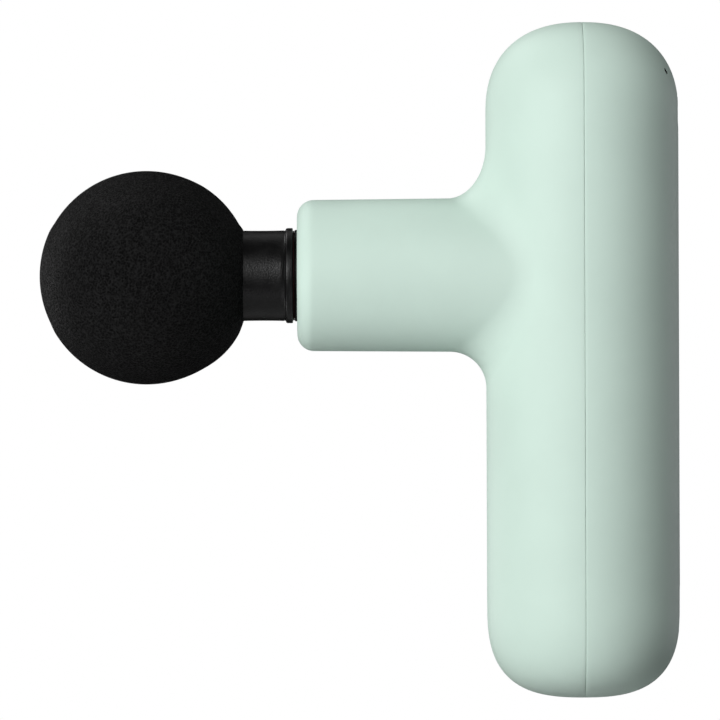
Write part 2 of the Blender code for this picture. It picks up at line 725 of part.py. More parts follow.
def make_rotor(parent):
    bell = [
        (2.15 * MM, 28.1 * MM),
        (13.5 * MM, 28.1 * MM),
        (13.5 * MM, 14.0 * MM),
        (BELL_RADIUS, 14.0 * MM),
        (BELL_RADIUS, 28.5 * MM),
        (BELL_RADIUS - 0.6 * MM, 29.1 * MM),
        (4.5 * MM, 29.1 * MM),
        (4.5 * MM, 30.8 * MM),
        (2.15 * MM, 30.8 * MM),
    ]
    rotor = turned("rotor_bell", bell, "aluminium", 28, parent=parent)
    spans = []
    for i in range(6):
        angle = i * math.pi / 3
        x, y = 9.0 * MM * math.cos(angle), 9.0 * MM * math.sin(angle)
        spans.append(((x, y, 27.0 * MM), (x, y, 30.0 * MM)))
    cut(rotor, rods("bell_window_tool", spans, 2.6 * MM, "aluminium", 8))

    outer, inner = [], []
    for i in range(MAGNET_COUNT):
        for share, radius in ((0.04, 12.9), (0.14, 12.1), (0.86, 12.1), (0.96, 12.9)):
            angle = 2 * math.pi * (i + share) / MAGNET_COUNT
            outer.append((13.4 * MM * math.cos(angle), 13.4 * MM * math.sin(angle)))
            inner.append((radius * MM * math.cos(angle), radius * MM * math.sin(angle)))
    ring = prism_bmesh(outer, 14.6 * MM, 25.8 * MM, inner)
    placed("magnet_ring", ring, "magnet", parent=parent)

    shaft = [
        (0.0, 7.2 * MM),
        (SHAFT_RADIUS, 7.2 * MM),
        (SHAFT_RADIUS, 30.9 * MM),
        (SHAFT_RADIUS - 0.3 * MM, 31.2 * MM),
        (0.0, 31.2 * MM),
    ]
    turned("motor_shaft", shaft, "steel", 16, parent=parent)


# ---------------------------------------------------------------- head


def make_head(parent):
    """The push-in connector with its O-rings and flat gasket, and the foam ball over its end."""
    profile = [(4.0 * MM, 48.1 * MM), (6.4 * MM, 48.1 * MM), (6.85 * MM, 48.6 * MM)]
    for reach in O_RING_REACHES:
        profile += [
            (6.85 * MM, reach - 0.95 * MM),
            (5.8 * MM, reach - 0.95 * MM),
            (5.8 * MM, reach + 0.95 * MM),
            (6.85 * MM, reach + 0.95 * MM),
        ]
    flange_front = FLANGE_BACK + 1.45 * MM
    profile += [
        (6.85 * MM, FLANGE_BACK),
        (FLANGE_RADIUS - 0.2 * MM, FLANGE_BACK),
        (FLANGE_RADIUS, FLANGE_BACK + 0.2 * MM),
        (FLANGE_RADIUS, flange_front - 0.3 * MM),
        (FLANGE_RADIUS - 0.3 * MM, flange_front),
        (NECK_RADIUS, flange_front + 0.1 * MM),
        (NECK_RADIUS - NECK_WAIST, 70.5 * MM),
        (NECK_RADIUS, 75.2 * MM),
        (NECK_RADIUS, 76.5 * MM),
        (8.0 * MM, 76.5 * MM),
        (8.0 * MM, 84.0 * MM),
        (11.5 * MM, 84.0 * MM),
        (11.5 * MM, 87.0 * MM),
        (4.0 * MM, 87.0 * MM),
    ]
    turned("head_connector", profile, "black_plastic", 24, rotation=FORWARD, parent=parent)
    for name, reach in zip(("o_ring_inner", "o_ring_outer"), O_RING_REACHES):
        section = []
        for i in range(6):
            angle = 2 * math.pi * i / 6
            section.append((6.43 * MM + 0.5 * MM * math.cos(angle), reach + 0.65 * MM * math.sin(angle)))
        turned(name, section, "rubber", 20, rotation=FORWARD, parent=parent)
    gasket = washer_profile(7.15 * MM, 9.9 * MM, *GASKET_REACHES)
    turned("face_gasket", gasket, "red_silicone", 32, rotation=FORWARD, parent=parent)
    make_ball(parent)


def make_ball(parent):
    """The foam ball, which swells a little where it was moulded round the neck."""
    mouth = NECK_RADIUS + GAP
    start = math.asin(mouth / BALL_RADIUS)
    steps = 15
    profile = []
    for i in range(steps + 1):
        angle = start + (math.pi - start) * i / steps
        here = BALL_RADIUS * (1 + BALL_SWELL * math.exp(-(((angle - 0.75) / 0.32) ** 2)))
        radius = here * math.sin(angle) if i < steps else 0.0
        profile.append((radius, BALL_REACH - here * math.cos(angle)))
    hollow = [
        (0.0, 87.3 * MM),
        (11.8 * MM, 87.3 * MM),
        (11.8 * MM, 83.7 * MM),
        (8.3 * MM, 83.7 * MM),
        (8.3 * MM, 76.8 * MM),
        (mouth, 76.8 * MM),
    ]
    bm = turned_bmesh([*profile[::-1], *hollow[::-1]], 32, closed=False)
    placed("head_ball", bm, "black_foam", rotation=FORWARD, parent=parent)


# ---------------------------------------------------------------- controls, boards, battery


def make_button(parent):
    """The power button: a cap that follows the handle, kept in by its flange, and the switch's key."""
    back = 17.0 * MM
    flange = [
        (0.0, back),
        (BUTTON_RADIUS + 1.0 * MM, back),
        (BUTTON_RADIUS + 1.0 * MM, back + 0.7 * MM),
        (BUTTON_RADIUS, back + 0.7 * MM),
        (BUTTON_RADIUS, 23.0 * MM),
        (0.0, 23.0 * MM),
    ]
    button = turned("power_button", flange, "mint_plastic", 24, rotation=BACKWARD, parent=parent)
    sunk = 0.05 * MM
    body = [(0.0, -20.0 * MM), (HANDLE_RADIUS - sunk, -20.0 * MM)]
    for i in range(8):
        height = HANDLE_TOP - TOP_CAP * (1 - math.sin(math.pi / 2 * i / 8))
        body.append((upper_radius(height) - sunk, height - BUTTON_Z))
    body.append((0.0, HANDLE_TOP - BUTTON_Z))
    tool = turned("button_face_tool", body, "mint_plastic", 72)
    boolean(button, tool, "INTERSECT")
    key = [((14.9 * MM, 0, 0), (16.7 * MM, 0, 0))]
    rods("switch_key", key, 1.6 * MM, "black_plastic", 12, parent=parent)


def make_control_board():
    """The small upper board with its push switch and the light guide in front of its four lights."""
    low_x, high_x = CONTROL_BOARD_X
    outline = [((low_x, -8.8 * MM, 31.4 * MM), (high_x, 8.8 * MM, 46.6 * MM))]
    board = boxes("control_board", outline, "board")
    pins = [((low_x - 1 * MM, y, POST_Z), (high_x + 1 * MM, y, POST_Z)) for y in POST_OFFSETS]
    cut(board, rods("board_pin_hole_tool", pins, 1.0 * MM, "board", 8))
    half = 3.0 * MM
    body = [((13.7 * MM, -half, BUTTON_Z - half), (16.0 * MM, half, BUTTON_Z + half))]
    switch = boxes("push_switch", body, "black_plastic")
    well = [((14.2 * MM, 0, BUTTON_Z), (17.0 * MM, 0, BUTTON_Z))]
    cut(switch, rods("switch_well_tool", well, 1.85 * MM, "black_plastic", 12))

    bar = [((14.0 * MM, -7.9 * MM, LED_Z - 0.7 * MM), (14.8 * MM, 7.9 * MM, LED_Z + 0.5 * MM))]
    guide = boxes("light_guide", bar, "smoked_lens")
    spans = []
    for y in LED_OFFSETS:
        surface_x = math.sqrt(upper_radius(LED_Z) ** 2 - y * y)
        spans.append(((14.5 * MM, y, LED_Z), (surface_x - 0.25 * MM, y, LED_Z)))
    join(guide, rods("light_pin_tool", spans, 0.55 * MM, "smoked_lens", 8))


def make_main_board():
    """The lower board with the parts soldered to it, and its two screws."""
    low_x, high_x = MAIN_BOARD_X
    low_z, high_z = MAIN_BOARD_Z
    outline = [((low_x, -12.0 * MM, low_z), (high_x, 12.0 * MM, high_z))]
    board = boxes("main_board", outline, "board")
    parts = bmesh.new()
    seat = high_x - 0.2 * MM
    # the motor's and the ribbon's connectors, the power transistors, controller, coil and capacitor
    blocks = [
        (-6.3, 0.7, -21.4, -16.4, 3.0),
        (3.2, 7.8, -20.4, -16.2, 2.6),
        (-3.6, 3.6, -55.0, -48.0, 1.0),
        (-10.5, -5.0, -62.0, -56.0, 3.2),
    ]
    for row in range(3):
        level = -33.0 - 5.2 * row
        blocks.append((-10.0, -4.6, level - 4.4, level, 1.3))
        blocks.append((4.6, 10.0, level - 4.4, level, 1.3))
    for low_y, high_y, bottom, top, height in blocks:
        low = (seat, low_y * MM, bottom * MM)
        high = (high_x + height * MM, high_y * MM, top * MM)
        add_box(parts, low, high)
    add_rod(parts, (seat, 8.0 * MM, -56.0 * MM), (16.0 * MM, 8.0 * MM, -56.0 * MM), 2.4 * MM)
    join(board, placed("board_parts_tool", parts, "board"))
    holes = [((low_x - 1 * MM, 0, z), (high_x + 1 * MM, 0, z)) for z in BOARD_SCREW_LEVELS]
    cut(board, rods("board_hole_tool", holes, 1.4 * MM, "board", 10))
    for name, z in zip(("board_screw_upper", "board_screw_lower"), BOARD_SCREW_LEVELS):
        screw(name, 1.9 * MM, 1.4 * MM, 0.95 * MM, 7.4 * MM, (8.7 * MM, 0, z), BACKWARD)


def make_charging_port():
    """The charging socket: a thin metal sleeve with a contact tongue inside."""
    outer = rounded_outline(4.47 * MM, 1.58 * MM, 1.5 * MM)
    inner = rounded_outline(4.17 * MM, 1.28 * MM, 1.2 * MM)
    sleeve = prism_bmesh(outer, 0.0, 8.1 * MM, inner)
    place = (12.3 * MM, 0, PORT_Z)
    placed("charging_socket", sleeve, "steel", place, BACKWARD)
    block = prism_bmesh(rounded_outline(4.0 * MM, 1.1 * MM, 0.9 * MM, steps=2), 0.2 * MM, 2.2 * MM)
    tongue = placed("socket_tongue", block, "black_plastic", place, BACKWARD)
    blade = [((-3.35 * MM, -0.35 * MM, 1.8 * MM), (3.35 * MM, 0.35 * MM, 7.3 * MM))]
    join(tongue, boxes("tongue_blade_tool", blade, "black_plastic", location=place, rotation=BACKWARD))


def make_battery():
    """Two lithium cells in series, their nickel strips, the cradle that holds them and a foam pad."""
    cell = [
        (0.0, 0.0),
        (CELL_RADIUS - 0.5 * MM, 0.0),
        (CELL_RADIUS, 0.5 * MM),
        (CELL_RADIUS, CELL_LENGTH - 1.5 * MM),
        (CELL_RADIUS - 0.5 * MM, CELL_LENGTH - 1.0 * MM),
        (2.8 * MM, CELL_LENGTH - 1.0 * MM),
        (2.8 * MM, CELL_LENGTH),
        (0.0, CELL_LENGTH),
    ]
    left = (0, -CELL_OFFSET_Y, CELL_BOTTOM)
    right = (0, CELL_OFFSET_Y, CELL_BOTTOM + CELL_LENGTH)
    turned("battery_cell_left", cell, "cell_sleeve", 20, location=left)
    turned("battery_cell_right", cell, "cell_sleeve", 20, location=right, rotation=(math.pi, 0, 0))

    top = CELL_BOTTOM + CELL_LENGTH + GAP
    for name, y in (("cell_tab_left", -CELL_OFFSET_Y), ("cell_tab_right", CELL_OFFSET_Y)):
        strip = [((-2.5 * MM, y - 2 * MM, top), (10.1 * MM, y + 2 * MM, top + 0.3 * MM))]
        boxes(name, strip, "nickel")
    link_top = CELL_BOTTOM - GAP
    link = [((-2.5 * MM, -11.5 * MM, link_top - 0.3 * MM), (2.5 * MM, 11.5 * MM, link_top))]
    boxes("cell_link", link, "nickel")

    floor = CELL_BOTTOM - 2.3 * MM
    plate_x, plate_y = 9.6 * MM, 14.5 * MM
    plate = prism_bmesh(rounded_outline(plate_x, plate_y, 3 * MM), floor, floor + 1.4 * MM)
    cradle = placed("battery_cradle", plate, "nylon")
    roof = top + 0.3 * MM + GAP
    roof_bm = prism_bmesh(rounded_outline(plate_x, plate_y, 3 * MM), roof, roof + 0.8 * MM)
    join(cradle, placed("cradle_roof_tool", roof_bm, "nylon"))
    spine = [((-11.2 * MM, -2.0 * MM, floor + 0.2 * MM), (-6.5 * MM, 2.0 * MM, roof + 0.6 * MM))]
    join(cradle, boxes("cradle_spine_tool", spine, "nylon"))
    pad = [((-17.0 * MM, -6.5 * MM, -68.0 * MM), (-11.6 * MM, 6.5 * MM, -24.0 * MM))]
    boxes("battery_pad", pad, "black_foam")


def make_motor_leads():
    """Three insulated leads from the windings, round the crank, to the main board."""
    for i, y in enumerate(LEAD_OFFSETS):
        stops = [
            (11.6, 12.8),
            (12.9, 9.4),
            (16.2, 4.6),
            (17.0, -1.0),
            (16.6, -7.5),
            (14.4, -13.0),
            (13.5, -16.0),
        ]
        route = smooth_route([Vector((x * MM, y, z * MM)) for x, z in stops], 2)
        curve = bpy.data.curves.new("motor_lead_%d" % (i + 1), "CURVE")
        curve.dimensions = "3D"
        curve.bevel_depth = 0.75 * MM
        curve.bevel_resolution = 2
        curve.use_fill_caps = True
        spline = curve.splines.new("POLY")
        spline.points.add(len(route) - 1)
        for point, place in zip(spline.points, route):
            point.co = (*place, 1.0)
        curve.materials.append(material("lead_sleeve"))
        lead = bpy.data.objects.new(curve.name, curve)
        bpy.context.scene.collection.objects.link(lead)


def make_control_ribbon():
    """A flat ribbon from the control board down behind the motor to the main board."""
    stops = [
        (13.0, 31.0),
        (13.4, 30.2),
        (15.0, 28.6),
        (15.9, 25.0),
        (15.9, 10.0),
        (15.9, -2.0),
        (15.5, -8.0),
        (14.2, -12.5),
        (13.6, -15.8),
    ]
    route = smooth_route([Vector((x * MM, RIBBON_Y, z * MM)) for x, z in stops], 3)
    half_width, half_thickness = 2.0 * MM, 0.2 * MM
    bm = bmesh.new()
    loops = []
    for i, place in enumerate(route):
        ahead = route[min(i + 1, len(route) - 1)] - route[max(i - 1, 0)]
        across = Vector((0, 1, 0))
        normal = ahead.normalized().cross(across)
        corners = ((-1, -1), (1, -1), (1, 1), (-1, 1))
        loops.append(
            ring_of(bm, [place + across * half_width * a + normal * half_thickness * b for a, b in corners])
        )
    for first, second in zip(loops, loops[1:]):
        strip_between(bm, first, second)
    bm.faces.new(loops[0])
    bm.faces.new(loops[-1])
    placed("control_ribbon", bm, "lead_sleeve")


# ---------------------------------------------------------------- assembly


def axis_empty(name, location=(0, 0, 0)):
    """An empty on a joint's axis, which the moving pieces hang from."""
    empty = bpy.data.objects.new(name, None)
    empty.location = location
    bpy.context.scene.collection.objects.link(empty)
    return empty


def make_frame_screws():
    number = 1
    for z in FRAME_SCREW_LEVELS:
        for y in (-FRAME_SCREW_Y, FRAME_SCREW_Y):
            name = "frame_screw_%d" % number
            screw(name, 1.9 * MM, 1.5 * MM, 1.0 * MM, 6.8 * MM, (-1.0 * MM, y, z), FORWARD)
            number += 1


def main():
    clear_scene()
    make_front_shell()
    make_rear_shell()
    make_nose_seal()
    make_bushes()
    make_damper_rings()
    make_drive_frame()
    make_frame_screws()
    make_motor_base()
    make_stator()

    crank_axis = axis_empty("crank_axis")
    make_crank(crank_axis)
    make_rotor(crank_axis)

    plunger_axis = axis_empty("plunger_axis")
    make_plunger(plunger_axis)
    make_yoke(plunger_axis)

    head_axis = axis_empty("head_axis")
    make_head(head_axis)

    button_axis = axis_empty("button_axis", (0, 0, BUTTON_Z))
    make_button(button_axis)

    make_control_board()
    make_main_board()
    make_charging_port()
    make_battery()
    make_motor_leads()
    make_control_ribbon()


main()
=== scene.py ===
"""Looks of the massage gun: fine casing, foam head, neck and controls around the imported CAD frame.

Everything is in metres in the CAD's own frame: the handle's upright axis is Z, the plunger's axis is X,
and they cross at the origin. A turned piece on the plunger's axis is laid out by its reach, the
distance forward of the origin, which is -X.
"""

import json
import math

import bmesh
import bpy
import numpy as np
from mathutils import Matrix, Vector

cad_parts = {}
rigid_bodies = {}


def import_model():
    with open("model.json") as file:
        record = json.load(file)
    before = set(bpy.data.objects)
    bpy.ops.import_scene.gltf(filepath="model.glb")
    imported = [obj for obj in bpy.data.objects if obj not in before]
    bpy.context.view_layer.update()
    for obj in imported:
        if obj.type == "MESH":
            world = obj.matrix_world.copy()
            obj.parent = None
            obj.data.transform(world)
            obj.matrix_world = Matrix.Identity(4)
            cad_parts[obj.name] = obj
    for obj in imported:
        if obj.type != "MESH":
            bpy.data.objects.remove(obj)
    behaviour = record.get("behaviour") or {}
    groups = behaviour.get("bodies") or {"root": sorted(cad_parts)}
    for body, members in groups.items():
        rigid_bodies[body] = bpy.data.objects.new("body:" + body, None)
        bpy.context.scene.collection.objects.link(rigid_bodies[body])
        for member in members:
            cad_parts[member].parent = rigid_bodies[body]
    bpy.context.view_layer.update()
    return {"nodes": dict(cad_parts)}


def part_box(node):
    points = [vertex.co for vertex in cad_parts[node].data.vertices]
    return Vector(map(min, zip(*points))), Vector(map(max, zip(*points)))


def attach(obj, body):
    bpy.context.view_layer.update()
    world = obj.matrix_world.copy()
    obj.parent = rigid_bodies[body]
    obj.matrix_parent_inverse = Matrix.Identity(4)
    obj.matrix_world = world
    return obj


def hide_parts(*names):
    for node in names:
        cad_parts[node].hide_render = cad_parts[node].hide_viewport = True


for leftover in list(bpy.data.objects):
    bpy.data.objects.remove(leftover, do_unlink=True)
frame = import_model()

MM = 0.001

# ---------------------------------------------------------------- sizes

# Casing: the CAD's surface, but for a slightly smaller fillet above the nose
HANDLE_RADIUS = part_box("rear_shell")[1].x
HANDLE_TOP = 56.0 * MM
HANDLE_BOTTOM = -93.8 * MM
TOP_CAP = 20.2 * MM
TOP_CAP_POWER = 2.35
BOTTOM_CAP = 20.9 * MM
BOTTOM_CAP_POWER = 2.85
NOSE_REACH = -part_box("front_shell")[0].x
NOSE_RADIUS = 16.74 * MM
NOSE_DRAFT = 0.0083
NOSE_CORNER = 3.7 * MM
MOUTH_RADIUS = 10.6 * MM
# how far the fillet reaches along the nose and along the handle, below and above the nose
FILLET_ALONG_NOSE = (8.0 * MM, 8.5 * MM)
FILLET_ALONG_HANDLE = (8.0 * MM, 11.6 * MM)
WALL = 2.2 * MM

# Parting line: a hair-wide gap between two softened edges, with a lip behind it
PARTING_X = 0.0
PARTING_GAP = 0.05 * MM
PARTING_EDGE = 0.08 * MM
LIP_REACH = 1.5 * MM
LIP_INSET = 1.15 * MM
LIP_CLEARANCE = 0.3 * MM
REBATE_INSET = 0.85 * MM
MOUTH_EDGE = 0.35 * MM

# Foam ball, with a pocket for the disc at the neck's end. It swells a little round its neck: the
# swell's share of the radius, its angle from the neck's axis and its spread, both in radians
BALL_RADIUS = 23.7 * MM
BALL_REACH = 96.76 * MM
BALL_DROP = 0.35 * MM
BALL_SWELL = 0.012
BALL_SWELL_ANGLE = 0.75
BALL_SWELL_SPREAD = 0.32
POCKET_RADIUS = 11.8 * MM
POCKET_REACHES = (83.7 * MM, 87.3 * MM)

# Neck: stem, flange, waist, and the thinner root and the disc that the ball is moulded on
STEM_RADIUS = 6.85 * MM
STEM_END_RADIUS = 6.4 * MM
STEM_BACK = 48.1 * MM
BORE_RADIUS = 4.0 * MM
GROOVE_RADIUS = 5.8 * MM
GROOVE_HALF_WIDTH = 0.95 * MM
FLANGE_RADIUS = 10.55 * MM
FLANGE_REACHES = (64.25 * MM, 65.7 * MM)
NECK_RADIUS = 10.05 * MM
NECK_WAIST = 0.07 * MM
NECK_LENGTH = 11.5 * MM
ROOT_RADIUS = 8.0 * MM
ROOT_BACK = 78.5 * MM
DISC_RADIUS = 11.5 * MM
DISC_REACHES = (84.0 * MM, 87.0 * MM)
GASKET_RADII = (7.15 * MM, 9.95 * MM)
GASKET_REACHES = (63.9 * MM, 64.2 * MM)
O_RING_REACHES = (52.5 * MM, 59.5 * MM)
O_RING_RADIUS = 6.43 * MM
O_RING_HALF_HEIGHT = 0.55 * MM
O_RING_HALF_WIDTH = 0.7 * MM

# Plunger: the socket for the head's stem in front, the seat for the yoke's rod behind
PLUNGER_RADIUS = 10.15 * MM
PLUNGER_BACK = 36.3 * MM
PLUNGER_FACE = 63.85 * MM
HEAD_SOCKET_RADIUS = 7.1 * MM
HEAD_SOCKET_FLOOR = 44.9 * MM
ROD_SEAT_RADIUS = 4.15 * MM
ROD_SEAT_FLOOR = 41.2 * MM
SCREW_HOLE_RADIUS = 1.7 * MM

# Power button: a hidden flange holds it in. Depths are below the handle's surface
BUTTON_Z = 35.5 * MM
BUTTON_RADIUS = 4.2 * MM
BUTTON_GAP = 0.22 * MM
BUTTON_EDGE = 0.35 * MM
BUTTON_DISH = 0.1 * MM
BUTTON_FLANGE = 1 * MM
BUTTON_FLANGE_DEPTHS = (4.4 * MM, 3.7 * MM)
BUTTON_SKIRT_DEPTH = 3.6 * MM
OPENING_EDGE = 0.25 * MM

# Row of lights: four pins on a bar that lies along Y
LED_Z = 44.8 * MM
LED_OFFSETS = (-7.5 * MM, -2.5 * MM, 2.5 * MM, 7.5 * MM)
LED_RADIUS = 0.62 * MM
LED_GAP = 0.05 * MM
LED_EDGE = 0.1 * MM
# how far the edge and the face of a pin's tip lie below the casing's surface
LED_SINKS = (0.12 * MM, 0.04 * MM)
LIGHT_BAR_HALF_Y = 7.9 * MM
LIGHT_BAR_DROP = 0.7 * MM
LIGHT_BAR_RISE = 0.5 * MM
LIGHT_BAR_X = (14.0 * MM, 14.8 * MM)
LIGHT_PIN_ROOT_X = 14.5 * MM

# Charging port: the opening in the casing, then the socket behind it
PORT_Z = -74.0 * MM
PORT_HALF_Y = 2.0 * MM
PORT_HALF_Z = 4.9 * MM
PORT_CORNER = 1.95 * MM
SLEEVE_X = (12.3 * MM, 20.4 * MM)
SLEEVE_WALL = 0.3 * MM
SLEEVE_EDGE = 0.12 * MM
BLOCK_X = (12.5 * MM, 14.5 * MM)
BLADE_X = (14.1 * MM, 19.6 * MM)
BLADE_HALF_Y = 0.35 * MM
CONTACT_X = (14.6 * MM, 19.0 * MM)
CONTACT_COUNT = 12
CONTACT_PITCH = 0.5 * MM

# Main board: the bare board's rear face, behind which its parts stand
MAIN_BOARD_FACE_X = 12.0 * MM

# Mesh fineness
SHELL_HALF_COUNT = 90
TURN_SEGMENTS = 128
BUTTON_SEGMENTS = 72
LED_SEGMENTS = 24
SHARP_ANGLE = math.radians(40)

# Stage: the camera stands square on to the side of the object, which leans by a hair in the photo
CAMERA_PLACE = (-49.43 * MM, -1.9, -18.78 * MM)
CAMERA_LEAN = math.radians(0.21)
LENS_LENGTH = 428.0
FLOOR_X = -49 * MM
FLOOR_Z = HANDLE_BOTTOM - 60 * MM
FLOOR_RADIUS = 0.18
LIT_POINT = (-0.03, 0.0, -0.01)
LIGHT_DISTANCE = 2.0
WHITE = (1.0, 1.0, 1.0)


# ---------------------------------------------------------------- casing surface


def handle_level(x, y, z, inset):
    """Below zero inside the capsule handle, shrunk by inset; its caps are superellipses."""
    radius = HANDLE_RADIUS - inset
    rise = np.maximum(z - (HANDLE_TOP - TOP_CAP), 0) / (TOP_CAP - inset)
    drop = np.maximum(HANDLE_BOTTOM + BOTTOM_CAP - z, 0) / (BOTTOM_CAP - inset)
    power = np.where(z > 0, TOP_CAP_POWER, BOTTOM_CAP_POWER)
    width = np.hypot(x, y) / radius
    return ((width**power + (rise + drop) ** power) ** (1 / power) - 1) * radius


def nose_level(x, y, z, inset):
    """Below zero inside the nose, a drafted cylinder with a rounded front edge."""
    corner = max(NOSE_CORNER - inset, 0.3 * MM)
    radius = NOSE_RADIUS + NOSE_DRAFT * (x + NOSE_REACH) - inset
    ahead = -x - (NOSE_REACH - inset - corner)
    aside = np.hypot(y, z) - (radius - corner)
    outside = np.hypot(np.maximum(ahead, 0), np.maximum(aside, 0))
    return outside + np.minimum(np.maximum(ahead, aside), 0) - corner


def casing_level(x, y, z, inset):
    """Below zero inside the casing: handle and nose joined by an elliptical fillet."""
    handle = handle_level(x, y, z, inset)
    nose = np.where(x < 0, nose_level(x, y, z, inset), 1.0)
    across = np.hypot(y, z) + 1e-9
    share = (1 + z / across) / 2
    along_nose = np.interp(share, (0, 1), FILLET_ALONG_NOSE) + inset
    along_handle = np.interp(share, (0, 1), FILLET_ALONG_HANDLE) + inset
    # cosine of the angle between the two surfaces' normals
    lean = np.minimum(y * y / (np.hypot(x, y) * across + 1e-12), 0.999)
    to_handle = handle / along_nose - 1
    to_nose = nose / along_handle - 1
    in_fillet = (to_handle < to_nose * lean) & (to_nose < to_handle * lean)
    spread = to_handle**2 + to_nose**2 - 2 * to_handle * to_nose * lean
    rolled = 1 - np.sqrt(np.maximum(spread, 0) / (1 - lean**2))
    return np.where(in_fillet, rolled * along_nose, np.minimum(handle, nose))


def reach_along(start, direction, inset=0.0):
    """How far from start, along direction, the casing's surface lies. Arrays of vectors."""
    near = np.zeros(direction.shape[:-1])
    far = np.full(direction.shape[:-1], 0.15)
    for _ in range(36):
        middle = (near + far) / 2
        point = start + direction * middle[..., None]
        outside = casing_level(point[..., 0], point[..., 1], point[..., 2], inset) > 0
        far = np.where(outside, middle, far)
        near = np.where(outside, near, middle)
    return (near + far) / 2


def evened(places, cost, count):
    """count places between the first and the last, evenly spread over a running cost."""
    return np.interp(np.linspace(cost[0], cost[-1], count), cost, places)


def running_cost(points, turn_weight, length_weight):
    """Cost along a polyline that grows with its length and with how much it turns."""
    steps = np.diff(points, axis=0)
    lengths = np.linalg.norm(steps, axis=1)
    headings = np.unwrap(np.arctan2(steps[:, 1], steps[:, 0]))
    turns = np.abs(np.gradient(headings))
    return np.concatenate([[0], np.cumsum(length_weight * lengths + turn_weight * turns)])


def meridian_angles(half_count):
    """Angles about the nose's axis, close together where the casing's upright outline bends."""
    dense = np.linspace(0, math.pi, 721)
    direction = np.stack([0 * dense, np.sin(dense), np.cos(dense)], axis=-1)
    outline = direction * reach_along(np.zeros(3), direction)[:, None]
    cost = running_cost(outline[:, 1:], 1.0, 0.0) + 0.9 * dense
    half = evened(dense, cost, half_count + 1)
    return np.concatenate([half, 2 * math.pi - half[-2:0:-1]])


def plane_ring(angles, x, inset):
    """The casing's outline in an upright plane, one point per meridian."""
    across = np.stack([0 * angles, np.sin(angles), np.cos(angles)], axis=-1)
    start = np.array([x, 0.0, 0.0])
    return start + across * reach_along(start, across, inset)[:, None]


def mouth_ring(angles, radius, reach):
    """A circle about the nose's axis."""
    return np.stack([-reach + 0 * angles, radius * np.sin(angles), radius * np.cos(angles)], axis=-1)


def meridian_points(angle, side, start_angle, end_x, inset, count):
    """Points from the nose's mouth (or the back's pole) along one meridian to an upright plane."""
    edge = plane_ring(np.array([angle]), end_x, inset)[0]
    end_angle = math.atan2(np.hypot(edge[1], edge[2]), side * edge[0])
    across = np.array([0.0, math.sin(angle), math.cos(angle)])
    along = np.array([side, 0.0, 0.0])

    def surface(polar):
        direction = np.cos(polar)[:, None] * along + np.sin(polar)[:, None] * across
        return direction * reach_along(np.zeros(3), direction, inset)[:, None]

    dense = np.linspace(start_angle, end_angle, 400)
    points = surface(dense)
    profile = np.stack([points[:, 0], np.hypot(points[:, 1], points[:, 2])], axis=-1)
    return surface(evened(dense, running_cost(profile, 1.0, 12.0), count))


def quarter_turn(steps):
    """(sine, cosine) at even steps of a quarter turn, both ends included."""
    turns = np.linspace(0, math.pi / 2, steps + 1)
    return list(zip(np.sin(turns), np.cos(turns)))


def shell_rings(side, outer_count, inner_count):
    """The closed chain of rings that bounds one half of the casing, from its outside to its inside.

    side is -1 for the front half, whose lip reaches past the joint, and +1 for the rear half.
    """
    angles = meridian_angles(SHELL_HALF_COUNT)
    front = side < 0
    edge_x = PARTING_X + side * PARTING_GAP / 2
    step_x = edge_x + LIP_REACH + (0 if front else LIP_CLEARANCE)
    step_inset = LIP_INSET if front else REBATE_INSET
    start = math.atan2(MOUTH_RADIUS + MOUTH_EDGE, NOSE_REACH) if front else 0.0
    inner_start = math.atan2(MOUTH_RADIUS, NOSE_REACH - WALL) if front else 0.0
    outer_end = edge_x + side * PARTING_EDGE
    outer = [meridian_points(a, side, start, outer_end, 0.0, outer_count) for a in angles]
    inner = [meridian_points(a, side, inner_start, step_x, WALL, inner_count) for a in angles]
    rings = []
    if front:
        for sine, cosine in quarter_turn(4)[:-1]:
            radius = MOUTH_RADIUS + MOUTH_EDGE * (1 - cosine)
            rings.append(mouth_ring(angles, radius, NOSE_REACH - MOUTH_EDGE * (1 - sine)))
    rings += [np.array([line[i] for line in outer]) for i in range(outer_count)]
    for sine, cosine in quarter_turn(3)[1:]:
        ring_x = edge_x + side * PARTING_EDGE * (1 - sine)
        rings.append(plane_ring(angles, ring_x, PARTING_EDGE * (1 - cosine)))
    rings.append(plane_ring(angles, edge_x, step_inset))
    rings.append(plane_ring(angles, step_x, step_inset))
    rings += [np.array([line[i] for line in inner]) for i in reversed(range(inner_count))]
    return rings


# ---------------------------------------------------------------- mesh tools


def strip_between(bm, first, second):
    """Faces between two closed loops of vertices; either may be a single point."""
    count = max(len(first), len(second))
    for i in range(count):
        k = (i + 1) % count
        if len(first) == 1:
            bm.faces.new((first[0], second[i], second[k]))
        elif len(second) == 1:
            bm.faces.new((first[i], second[0], first[k]))
        else:
            bm.faces.new((first[i], second[i], second[k], first[k]))


def finished(name, bm):
    """Turns a bmesh into an object, smooth but for its sharp edges."""
    bmesh.ops.recalc_face_normals(bm, faces=bm.faces)
    mesh = bpy.data.meshes.new(name)
    bm.to_mesh(mesh)
    bm.free()
    mesh.shade_smooth()
    mesh.set_sharp_from_angle(angle=SHARP_ANGLE)
    made = bpy.data.objects.new(name, mesh)
    bpy.context.scene.collection.objects.link(made)
    return made


def chained(bm, rings, closed=False):
    """Joins rings of points into one skin. A ring whose points all meet becomes a single point.

    The last ring is joined to the first too if closed is set. Returns the rings' vertices.
    """
    loops = []
    for ring in rings:
        at_pole = np.ptp(ring, axis=0).max() < 1e-6
        loops.append([bm.verts.new(point) for point in (ring[:1] if at_pole else ring)])
    for first, second in zip(loops, loops[1:]):
        strip_between(bm, first, second)
    if closed:
        strip_between(bm, loops[-1], loops[0])
    return loops


def skinned(name, rings, closed):
    """An object whose surface is the skin over a chain of rings."""
    bm = bmesh.new()
    chained(bm, rings, closed)
    return finished(name, bm)


